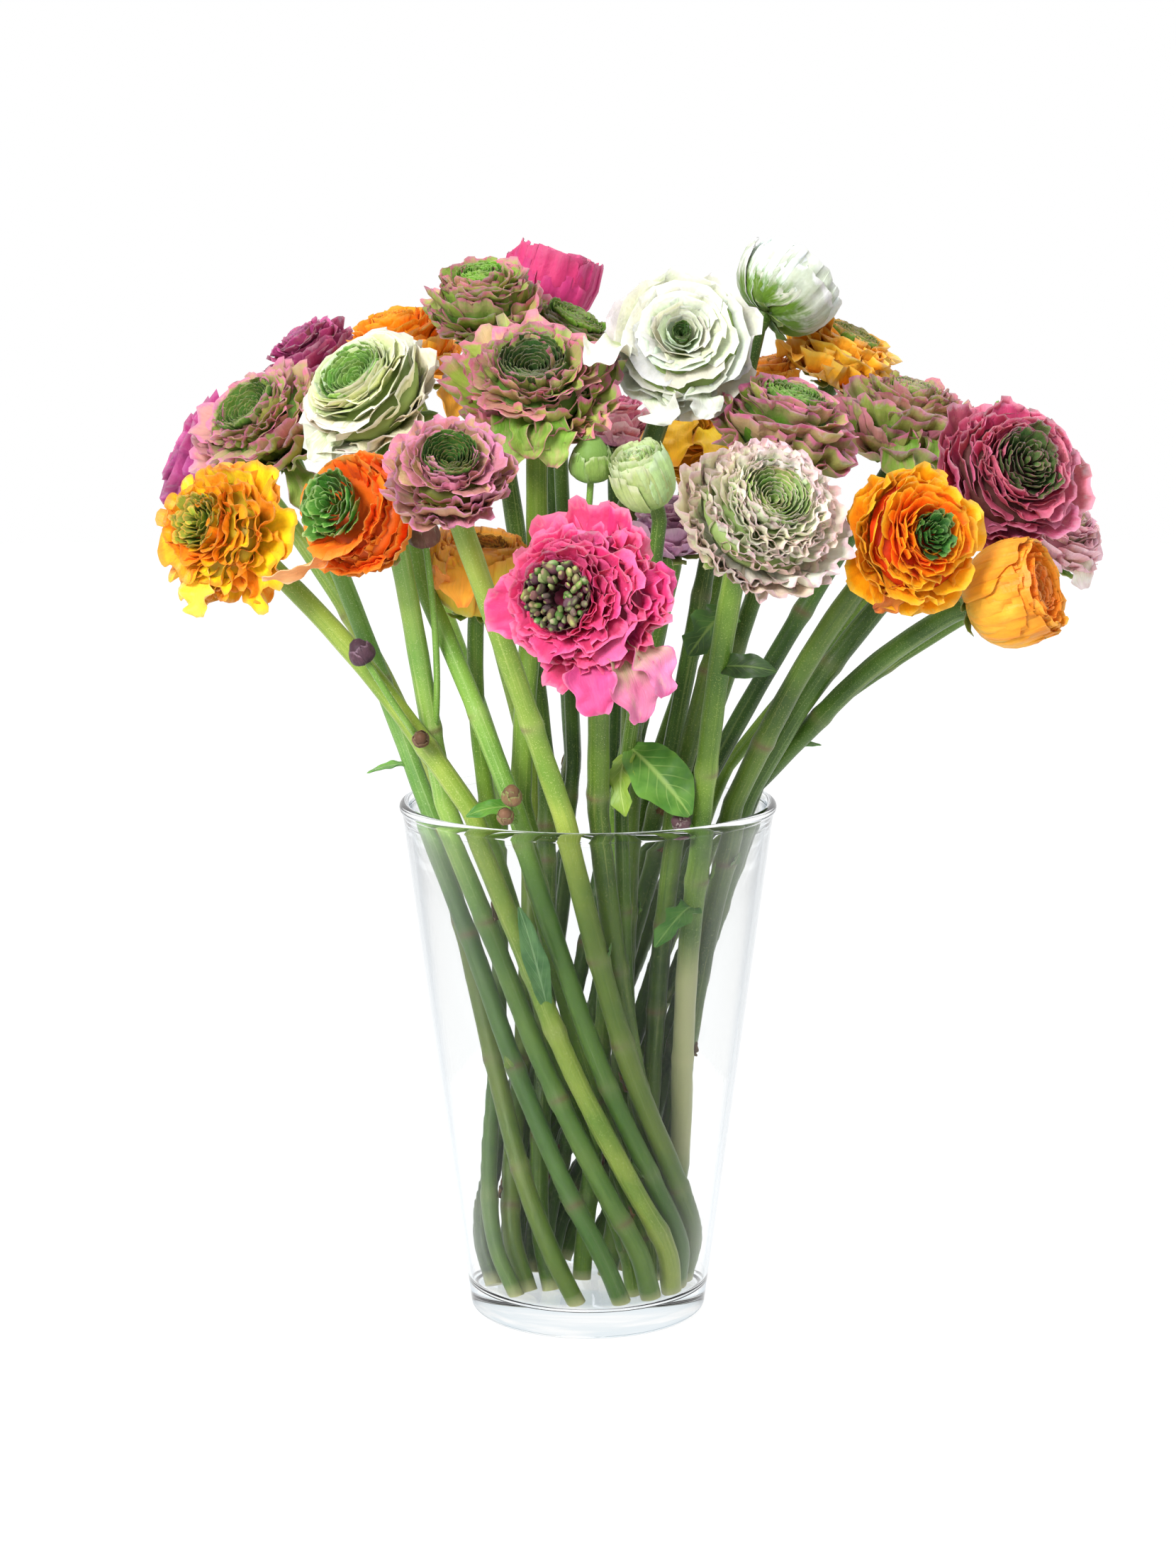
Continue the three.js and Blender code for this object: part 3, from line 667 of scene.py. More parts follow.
def in_vase(mouths, share):
    """Foot and mouth mixed by the share, bowed out above the foot, at the share's height."""
    cos, sin = np.cos(FOOT_TURN), np.sin(FOOT_TURN)
    foot = mouths @ np.array([[cos, sin], [-sin, cos]]) * FOOT_SCALE
    tail = 1 / BULGE_HEIGHT - 1
    peak = BULGE_HEIGHT * (1 - BULGE_HEIGHT) ** tail
    place = (foot + (mouths - foot) * share) * (1 + BULGE * share * (1 - share) ** tail / peak)
    height = np.full((len(mouths), 1), FLOOR + (VASE_HEIGHT - FLOOR) * share)
    return np.concatenate([place, height], axis=1)


MOUTH_PLACES = spread_mouth()
reach = np.linalg.norm(MOUTH_PLACES, axis=1).max()
print("the stems pass the mouth within", round(float(reach), 1), "mm of its middle")

# %% The stems' runs above the mouth
CHAIN = 30  # points of a stem above the mouth
NECK = 30  # how far below its bloom a stem has begun to turn to the bloom's facing
SETTLE_ROUNDS = 240


def first_chains(mouths):
    """Points in the vase, then a cubic Bezier from the mouth to under the bloom."""
    vase = np.stack([in_vase(mouths, share) for share in VASE_STEPS], axis=1)
    rise = unit(vase[:, 1] - vase[:, 0])[:, 2]
    vase[:, 0, 2] = FLOOR + GAP + THICK * np.sqrt(1 - rise**2)
    gate = in_vase(mouths, 1.0)
    lean = unit(gate - in_vase(mouths, 0.9))
    reach = np.linalg.norm(gate - TOPS, axis=1)[:, None] * 0.38
    early, late = gate + lean * reach, TOPS - FACINGS * np.minimum(reach, NECK)
    t = np.linspace(0, 1, CHAIN)[None, :, None]
    parts = [(1 - t) ** 3, 3 * t * (1 - t) ** 2, 3 * t**2 * (1 - t), t**3]
    ends = [gate, early, late, TOPS]
    return vase, sum(part * end[:, None] for part, end in zip(parts, ends))


def off_blooms(here, swell, skip):
    """The push out of every bloom's swollen ellipsoid, along that ellipsoid's normal."""
    a, b = RADII[None] + swell, HEIGHTS[None] / 2 + swell
    offset = here[:, None] - CENTRES[None]
    along = (offset * FACINGS[None]).sum(-1)
    outward = offset - FACINGS[None] * along[..., None]
    depth = np.sqrt((np.linalg.norm(outward, axis=-1) / a) ** 2 + (along / b) ** 2)
    slope = outward / (a * a)[..., None] + FACINGS[None] * (along / (b * b))[..., None]
    strength = np.where((depth < 1) & ~skip, (1 - depth) * np.minimum(a, b), 0)
    return (unit(slope) * strength[..., None]).sum(1)


def settle(points):
    """Smooths each curve and lets all of them push each other, many times over."""
    count = len(points)
    inner = np.arange(2, CHAIN - 3)
    owner = np.repeat(np.arange(count), len(inner))
    others = np.repeat(np.arange(count), CHAIN)
    need = THICK[owner][:, None] + THICK[others][None] + CLEAR
    same = owner[:, None] == others[None]
    steps = np.tile(inner, count)
    skip = (owner[:, None] == np.arange(count)[None]) & (steps[:, None] > CHAIN - 8)
    swell = (THICK[owner] + CLEAR)[:, None]
    for _ in range(SETTLE_ROUNDS):
        here = points[:, inner].reshape(-1, 3)
        middle = (points[:, inner - 1] + points[:, inner + 1]).reshape(-1, 3) / 2
        every = points.reshape(-1, 3)
        square = (here**2).sum(1)[:, None] + (every**2).sum(1)[None] - 2 * here @ every.T
        gap = np.sqrt(np.maximum(square, 1e-9))
        push = np.where((gap < need) & ~same, 0.3 * (need - gap) / gap, 0)
        move = 0.35 * (middle - here) + here * push.sum(1)[:, None] - push @ every
        move += 0.8 * off_blooms(here, swell, skip)
        points = points.copy()
        points[:, inner] += move.reshape(count, len(inner), 3)
    return points


IN_VASE, ABOVE = first_chains(MOUTH_PLACES)
ABOVE = settle(ABOVE)
print("stems settled; the highest ends at", round(float(ABOVE[..., 2].max()), 1), "mm")

# %% [markdown]
# ## Tubes and blades
#
# A stem is a circle carried along its run. A curve object with a round bevel would make one too,
# but not the swellings where leaves grew. The circle's frame is moved from step to step without
# twisting, which keeps the ribs straight. A leaf or a hanging petal is a blade: its midline is a
# Bezier curve, and its width follows an outline.

# %% Tubes
ACROSS = np.array([1.0, 0.0, 0.0])  # the side from which a tube's first circle starts


def flowing(points, count):
    """A Catmull-Rom curve through the points, in even steps of its own length."""
    ends = np.concatenate([[2 * points[0] - points[1]], points, [2 * points[-1] - points[-2]]])
    t = np.linspace(0, 1, 9)[:-1, None]
    a, b, c, d = (ends[k : len(ends) - 3 + k, None] for k in range(4))
    curve = 0.5 * (2 * b + (c - a) * t + (2 * a - 5 * b + 4 * c - d) * t**2)
    curve = (curve + 0.5 * (3 * b - a - 3 * c + d) * t**3).reshape(-1, 3)
    curve = np.concatenate([curve, points[-1:]])
    length = np.concatenate([[0], np.cumsum(np.linalg.norm(np.diff(curve, axis=0), axis=1))])
    even = np.linspace(0, length[-1], count)
    return np.stack([np.interp(even, length, curve[:, k]) for k in range(3)], -1)


def carried(path):
    """Two directions across the path at each step, carried along it without twisting."""
    side, along = ACROSS, unit(np.gradient(path, axis=0))
    across = np.empty_like(path)
    for k, direction in enumerate(along):
        side = unit(side - direction * (side @ direction))
        across[k] = side
    return across, np.cross(along, across), along


def tube(path, radius, sides):
    """Circles round the path, closed by a point at each end: centre + r (cos a, sin a)."""
    across, normal, _ = carried(path)
    turn = np.linspace(0, 2 * np.pi, sides, endpoint=False)
    ring = across[:, None] * np.cos(turn)[:, None] + normal[:, None] * np.sin(turn)[:, None]
    points = path[:, None] + ring * np.reshape(radius, (-1, 1, 1))
    count = len(path)
    points = np.concatenate([points.reshape(-1, 3), path[:1], path[-1:]])
    first, last = np.arange(sides), (count - 1) * sides + np.arange(sides)
    low = np.stack([np.full(sides, count * sides), np.roll(first, -1), first], -1)
    high = np.stack([np.full(sides, count * sides + 1), last, np.roll(last, -1)], -1)
    way, around = np.meshgrid(np.linspace(0, 1, count), np.arange(sides) / sides, indexing="ij")
    uv = np.stack([np.abs(2 * around - 1), way], -1).reshape(-1, 2)
    uv = np.concatenate([uv, [[0.5, 0.0], [0.5, 1.0]]])
    return points, grid_quads(count, sides, True), np.concatenate([low, high]), uv


print("a run of 3 points flows through", len(flowing(np.eye(3), 9)), "steps")


# %% Blades
ROUND = 6.3  # radians, about a full turn, for phases drawn at random


def blade(root, bend, tip, half_width, outline, rng, rows, columns, fold, wave):
    """A sheet along a Bezier curve: across it, the width follows the outline; it is folded along
    its midline by `fold` and waves at its edges by `wave`, both as shares of the half width."""
    root, bend, tip = (np.array(each, float) for each in (root, bend, tip))
    side, way = unit_grid(rows, columns)
    across = unit(np.cross(tip - root, bend - root))
    middle = bent(root, bend, tip, way)
    normal = unit(np.cross(across, np.gradient(middle, axis=0)))
    phase = rng.uniform(0, ROUND, 5)
    width = np.interp(way, np.linspace(0, 1, len(outline)), outline) * half_width
    width = width * (1 + 0.6 * wave * np.sin(way * 14 + phase[2] + side))
    ripple = np.sin(way * 13 + phase[0] + 1.5 * side) + 0.7 * np.sin(way * 23 + phase[1] - 2 * side)
    crumple = np.sin(way * 9 + phase[3]) * np.sin(side * 5 + phase[4])
    lift = fold * side**2 + wave * (np.abs(side) ** 1.5 * ripple + 0.5 * way * crumple)
    sheet = middle + across * (side * width)[..., None]
    return sheet + normal * (lift * width)[..., None]


def grid_uv(rows, columns):
    """The sheet's own map: across from 0 to 1, and along from 0 at the root to 1 at the tip."""
    side, way = unit_grid(rows, columns)
    return np.stack([side / 2 + 0.5, way], -1)


def tint_rows(codes, rng, count, spread, blend):
    """Root, body and rim colours for a batch of sheets, each a little lighter or darker; the
    body takes on up to `blend` of the rim's colour on some petals, and of the root's on others."""
    base = np.repeat(colours(codes)[None], count, axis=0)
    for other in (0, 2):
        share = blend * rng.random((count, 1)) ** 2
        base[:, 1] = base[:, 1] * (1 - share) + base[:, other] * share
    change = 1 + rng.uniform(-spread, spread, (count, 1, 1)) * 2
    shift = 1 + rng.uniform(-spread, spread, (count, 1, 3))
    return np.clip(base * change * shift, 0, 1)


def add_petals(skin, rng, sheets, thick, codes, spread=0.06, blend=0.0, finish=0):
    """Adds a batch of sheets as thin petals or leaves, each in its own shade of the tints."""
    count, rows, columns = sheets.shape[:3]
    tints = tint_rows(codes, rng, count, spread, blend)
    add_sheets(skin, sheets, thick, grid_uv(rows, columns), tints, rng.random(count), finish)


def rows_of(number, rows):
    """What the rows say of one bloom or stem; a row's first value is its number."""
    return [row[1:] for row in rows if row[0] == number]


print("tubes and blades are ready")

# %% [markdown]
# ## Petals in whorls
#
# One petal could be modelled by hand and copied a hundred times, but then all would ripple alike.
# Here it is a patch of a turned surface. Its midline runs, as a Bezier curve of radius and
# height, from the root over a bend to the tip, and it is carried a little way round the bloom's
# axis. The tip's corners are rounded by stopping the midline early at the sides, and small
# lobes are cut in the same way. Ripples move the surface along its normal, more towards the
# rim, and a curl turns the rim outwards. Each petal has its own ripples, plus a share of slower
# waves that run on from petal to petal, because all of them grew packed in one bud.

# %% One whorl
# how far the corners are rounded, how deep lobes are cut, the ripples' depth and length, the share
# that runs on from petal to petal, the rim's curl, how unlike the petals are, and fine ridges
FRILL_WORDS = ("tuck", "lobe", "depth", "length", "choir", "curl", "loose", "ridge")
RIDGE_LENGTH = 4.5


def whorl(rng, petals, tip, root, bend, width, frill, turn, drift, rows=8, fine=7):
    """A whorl of petals [petals, rows, columns, 3] round the z axis, in millimetres.

    radius, height = Bezier(root, bend, tip) at way * outline(side)
    outline(side) = 1 - tuck (1 - sqrt(1 - |side|^3.5)) + lobe * ripples
    angle = petal's angle + side * half angle * (0.5 at the root, 1 at the widest)
    moved along the normal by depth * way^1.5 * ripples + curl near the tip, where the ripples
    are sines of the distance along the rim over the ripple's length
    """
    tuck, lobe, depth, length, choir, curl, loose, ridge = (frill[k] for k in FRILL_WORDS)
    half = width * np.pi / petals
    reach = max(tip[0], bend[0]) * half
    finest = RIDGE_LENGTH if ridge else length
    columns = int(np.clip(np.ceil(2 * reach / finest * fine), 7, 40)) + 1
    side, way = (each[None] for each in unit_grid(rows, columns))
    side = np.sin(side * 1.4) / np.sin(1.4)
    each = np.arange(petals)[:, None, None]
    own = rng.uniform(-1, 1, (10, petals, 1, 1))
    arc_wave = 2 * np.pi * side * reach / length
    cut = lobe * (0.6 * np.sin(0.7 * arc_wave + ROUND * own[6]) + 0.4 * np.sin(arc_wave + ROUND * own[5]))
    outline = 1 - tuck * (1 - np.sqrt(1 - 0.98 * np.abs(side) ** 3.5)) + cut * way
    t = way * outline * (1 - (0.03 + 0.11 * loose) * own[4] ** 2)
    rest = 1 - t
    radius = rest**2 * root[0] + 2 * t * rest * bend[0] + t**2 * tip[0]
    height = rest**2 * root[1] + 2 * t * rest * bend[1] + t**2 * tip[1]
    slope_r = rest * (bend[0] - root[0]) + t * (tip[0] - bend[0])
    slope_h = rest * (bend[1] - root[1]) + t * (tip[1] - bend[1])
    run = np.sqrt(slope_r**2 + slope_h**2) + 1e-9
    normal_r, normal_h = slope_h / run, -slope_r / run
    angle = turn + 2 * np.pi * each / petals + (0.1 + 0.12 * loose) * own[2]
    angle = angle + side * half * (0.5 + 0.5 * smooth(0, 0.55, way)) * (1 + 0.15 * own[7])
    wave = arc_wave * (1 + 0.15 * own[9]) + ROUND * own[3] + 1.2 * t
    strong = 0.75 + 0.35 * np.sin(0.31 * wave + ROUND * own[0]) + 0.3 * own[2]
    alone = strong * np.sin(wave) + 0.3 * np.sin(0.57 * wave + ROUND * own[4])
    together = np.sin(np.round(2 * np.pi * max(tip[0], 2) / length) * angle + drift)
    swing = (1 - choir) * alone + choir * together
    crumple = np.sin(8 * t + ROUND * own[2]) * np.sin(1.3 * arc_wave + ROUND * own[0])
    move = depth * t**1.5 * (swing + 0.3 * crumple)
    move = move + curl * smooth(0.5, 1.0, t) ** 1.5 * (1 + 0.5 * (1 + loose) * own[8])
    move = move + 0.03 * tip[0] * side + loose * 0.14 * tip[0] * own[0] ** 3 * t
    move = move + loose * 0.06 * tip[0] * t**2 * np.sin(2.2 * side + 5 * own[1])
    move = move + ridge * np.sqrt(t) * np.sin(2 * np.pi * side * reach / RIDGE_LENGTH + ROUND * own[5])
    fold = -0.1 * length * t**2 * np.sin(2 * wave) * (1 - choir)
    spread = 1 + (0.02 + 0.045 * loose) * own[1]
    radius = np.maximum(radius * spread + move * normal_r, 0.15)
    height = height + move * normal_h
    angle = angle + fold / np.maximum(radius, 3.0)
    return np.stack([radius * np.cos(angle), radius * np.sin(angle), height], -1)


print("a whorl takes", len(FRILL_WORDS), "numbers for its frill")

# %% The shape of a bloom
# how high the petals' tips stand at each share of the bloom's radius
TIP_RADII = (0.0, 0.3, 0.47, 0.68, 0.86, 0.94, 1.0)
TIP_HEIGHTS = {
    "ball": (0.45, 0.46, 0.45, 0.36, 0.22, 0.12, 0.0),
    "disc": (0.4, 0.42, 0.42, 0.33, 0.17, 0.06, -0.06),
    "cup": (0.3, 0.36, 0.4, 0.47, 0.47, 0.45, 0.42),
}
# radius and height of the core that the petals hide
HEART = np.array([
    (0, -0.46), (0.3, -0.44), (0.62, -0.32), (0.78, -0.08), (0.72, 0.02),
    (0.5, 0.1), (0.36, 0.12), (0.25, 0.06), (0.12, 0.0), (0, 0.0),
])


def blend(first, second, share):
    """The point that lies the share of the way from the first to the second."""
    return np.array(first) * (1 - share) + np.array(second) * share


def petal_run(form, share, eye, spread):
    """Where a layer's midline starts, bends and ends, as shares of the bloom's radius and height.

    `share` is 1.15 for the lowest skirt, 1 for the widest layer and 0 beside the eye; `spread`
    is 0 for petals that stand up like a cup and 1 for petals that lie open.
    """
    radius = eye + (1 - eye) * min(share, 1.0)
    height = np.interp(radius, TIP_RADII, TIP_HEIGHTS[form]) - 0.9 * max(share - 1, 0)
    low = smooth(0.55, 1.0, share)
    if form == "cup":
        root = blend((0.35 * radius, -0.1), (0.16, -0.48), low)
        bend = blend((1.25 * radius, 0.0), (1.3, -0.45), low)
        return (radius, height), root, bend
    root = blend((0.45 * radius, height - 0.45), (0.16, -0.47), low)
    upright = blend((1.04 * radius, height - 0.3), (1.0, -0.5), low)
    opened = blend((0.55 * radius, height + 0.04), (0.72, -0.36), low)
    return (radius, height), root, blend(upright, opened, spread)


print("shapes of blooms:", ", ".join(TIP_HEIGHTS))

# %% Layers of petals and the eye
PETAL_THICK = 0.4
GOLDEN_TURN = 2.4  # radians from one layer to the next, so that no petal lies over another's middle
SKIRT = 1.15  # where the lowest layer lies, as a share of the way out
# layers, petals in the outermost, and how much higher than the rim the middle stands
EYES = {
    "crater": (9, 9, -0.2), "dome": (10, 11, 0.03), "tuft": (7, 8, 0.08), "beads": (3, 12, -0.2),
}


def add_layers(skin, rng, form, radius, height, look, tints, shift):
    """The petals from the lowest skirt up to the eye, layer after layer."""
    scale = np.array([radius, height])
    turn, drift = rng.uniform(0, ROUND, 2)
    count = look["petals"]
    for k in range(look["layers"]):
        share = SKIRT - (SKIRT - look["inmost"]) * (k / (look["layers"] - 1)) ** look["crowd"]
        spread = np.interp(share, (0, 0.5, 1.1), look["spread"])
        tip, root, bend = (
            np.array(each) * scale for each in petal_run(form, share, look["eye"], spread)
        )
        inner = smooth(0.0, 0.6, share)
        frill = {word: look[word] for word in FRILL_WORDS}
        calm = 1 - look["calm"] * smooth(0.7, 0.95, share)
        frill["depth"] = look["depth"] * radius * (0.45 + 0.55 * inner) * calm
        frill["curl"] = look["curl"] * radius * (0.4 + 0.6 * inner)
        turn += GOLDEN_TURN
        drift += 0.6
        grid = (look["rows"], look["fine"])
        sheets = whorl(rng, count, tip, root, bend, look["width"], frill, turn, drift, *grid)
        sheets = sheets + shift * (1 - min(share, 1)) ** 0.7
        codes = tints[share < look["change"]]
        add_petals(skin, rng, sheets, PETAL_THICK, codes, 0.08, look["blend"])


def add_eye(skin, rng, kind, radius, height, eye, tints, shift):
    """The small petals in the middle: a crater, a dome of scales, a leafy tuft, or a low ring
    that the knobs stand on."""
    scale = np.array([radius, height])
    turn, drift = rng.uniform(0, ROUND, 2)
    frill = dict(tuck=0.6, lobe=0.04, depth=0.3, length=4, choir=0, curl=0.15, loose=0.5, ridge=0)
    layers, petals, rise = EYES[kind]
    if kind == "tuft":
        frill.update(tuck=0.9, depth=0.7, curl=1.3, loose=1.2, length=5.0)
    for k in range(layers):
        share = 1 - k / layers
        tip = np.array([eye * share + 0.02, 0.43 + rise * (1 - share)]) * scale
        root = tip * (0.75, 1.0) - (0.0, 0.22 * height)
        bend = tip * (1.12, 1.0) - (0.0, 0.1 * height)
        turn += GOLDEN_TURN
        count = max(5, int(petals * np.sqrt(share)))
        width = 1.3 if kind != "tuft" else 1.0
        sheets = whorl(rng, count, tip, root, bend, width, frill, turn, drift + k, 6) + shift
        add_petals(skin, rng, sheets, PETAL_THICK, tints, 0.12)


print("kinds of eye:", ", ".join(EYES))


# %% Knobs, and turning a bloom to its facing
BEAD_RINGS, BEAD_TINTS = 5, ("36521f", "60803c", "948468")


def add_beads(skin, rng, radius, height, eye, tints, shift):
    """Carpels like green and purple knobs, crowded round a dark hole."""
    egg = arc(0, 0, 1.0, -90, 90, 7)
    points, quads, triangles = lathe(egg, 9)
    for ring in range(BEAD_RINGS):
        share = 0.34 + 0.66 * ring / (BEAD_RINGS - 1)
        count = int(5 + 4.5 * ring)
        for k in range(count):
            turn = 2 * np.pi * (k + rng.uniform(-0.5, 0.5)) / count + ring
            place = np.array([np.cos(turn), np.sin(turn), 0]) * radius * eye * share
            place[2] = height * (0.26 + 0.2 * np.sin(share * 2.4)) + rng.uniform(-1, 1)
            size = rng.uniform(0.8, 1.6) * np.array([rng.uniform(1.1, 2.2), 1.2, 2.2])
            bumps = 1 + 0.12 * np.sin(points[:, :1] * 5 + k) * np.sin(points[:, 2:] * 4 + ring)
            out = rng.uniform(0.2, 0.9)
            lean = unit(np.array([np.cos(turn) * out, np.sin(turn) * out, 1.0]))
            bead = placed(points * bumps * size, place + shift, lean, rng.uniform(0, ROUND))
            tinted = tint_rows(tints[0] if rng.random() < 0.6 else tints[1], rng, 1, 0.2, 0.5)
            uv = np.stack([np.full(len(points), 0.5), points[:, 2] / 2 + 0.5], -1)
            skin.add(bead, quads, triangles, uv, tinted, rng.random())


def facing_turn(facing, spin):
    """The turn that spins about z and then lays z along the facing, as a matrix."""
    cos, sin = np.cos(spin), np.sin(spin)
    spun = np.array([[cos, -sin, 0], [sin, cos, 0], [0, 0, 1]])
    axis = np.cross([0, 0, 1], facing)
    skew = np.array([[0, -axis[2], axis[1]], [axis[2], 0, -axis[0]], [-axis[1], axis[0], 0]])
    return (np.eye(3) + skew + skew @ skew / (1 + facing[2])) @ spun


def placed(points, centre, facing, spin):
    """Turns points to a facing and moves them to the centre."""
    return points @ facing_turn(facing, spin).T + centre


print("whorl helpers are ready")

# %% [markdown]
# ## The blooms' looks
#
# No two blooms are alike, but they fall into ten ways of growing. So a form says how the petals of
# one kind grow, and a row for each bloom gives its shape, its form, its eye with the eye's share
# of the radius, its finish, and three sets of colours, for the outer petals, the inner petals and
# the eye. Each set has the colours of root, body and rim.

# %% Ten ways of growing
# how many layers, and petals in each; `width` is how far petals overlap; `spread` is how open they
# lie beside the eye, half way out and outside; `calm` takes ripples from the outer layers; `blend`
# is how far a petal's colour may stray; `crowd`, `inmost` and `change` say how close the layers
# come to the eye, where they stop, and where the inner colours begin
COMMON = dict(choir=0.0, calm=0.0, ridge=0.0, crowd=1.0, inmost=0.0, change=0.55)
FORMS = {
    "white": dict(layers=10, petals=5, width=1.6, spread=(0.0, 0.6, 1.0), tuck=0.5, lobe=0.02,
                  depth=0.05, length=23, curl=0.05, loose=1.0, calm=-1.0, blend=0.3, crowd=0.8),
    "green": dict(layers=12, petals=7, width=1.5, spread=(0.0, 0.15, 0.25), tuck=0.6, lobe=0.06,
                  depth=0.07, length=9, curl=0.12, loose=2.0, calm=-0.4, blend=0.7),
    "tight": dict(layers=11, petals=9, width=1.4, spread=(0.0, 0.0, 0.0), tuck=0.5, lobe=0.02,
                  depth=0.035, length=8, curl=0.05, loose=1.0, blend=0.5),
    "frilly": dict(layers=13, petals=9, width=1.7, spread=(0.0, 0.4, 0.7), tuck=0.6, lobe=0.05,
                   depth=0.08, length=11, curl=0.06, loose=2.3, calm=-0.2, blend=0.8),
    "layered": dict(layers=13, petals=8, width=1.6, spread=(0.0, 0.3, 0.6), tuck=0.65, lobe=0.03,
                    depth=0.05, length=13, curl=0.04, loose=1.6, blend=0.8),
    "coral": dict(layers=14, petals=6, width=1.5, spread=(0.0, 0.3, 0.5), tuck=0.35, lobe=0.04,
                  depth=0.075, length=8.5, curl=0.03, loose=1.2, choir=0.1, blend=0.6),
    "silky": dict(layers=10, petals=6, width=1.4, spread=(0.0, 0.4, 0.8), tuck=0.6, lobe=0.05,
                  depth=0.12, length=13, curl=0.08, loose=2.5, ridge=0.25, blend=0.9),
    "sweep": dict(layers=6, petals=4, width=1.6, spread=(1.0, 1.0, 1.0), tuck=0.35, lobe=0.05,
                  depth=0.06, length=24, curl=-0.12, loose=1.1, ridge=0.8, blend=0.9,
                  inmost=0.62, change=0.95),
    "waved": dict(layers=8, petals=4, width=1.45, spread=(0.0, 0.2, 0.4), tuck=0.4, lobe=0.03,
                  depth=0.16, length=17, curl=0.08, loose=1.4, calm=-0.2, blend=0.6),
    "cup": dict(layers=8, petals=5, width=1.6, spread=(0.0, 0.0, 0.0), tuck=0.3, lobe=0.02,
                depth=0.04, length=12, curl=0.03, loose=0.8, calm=0.2, ridge=0.2, blend=0.4),
}
print("forms:", ", ".join(FORMS))

# %% Each bloom's look
# blooms of which little is seen get a coarser grid
BEHIND = (2, 3, 7, 9, 11, 20, 25, 28, 31, 34)
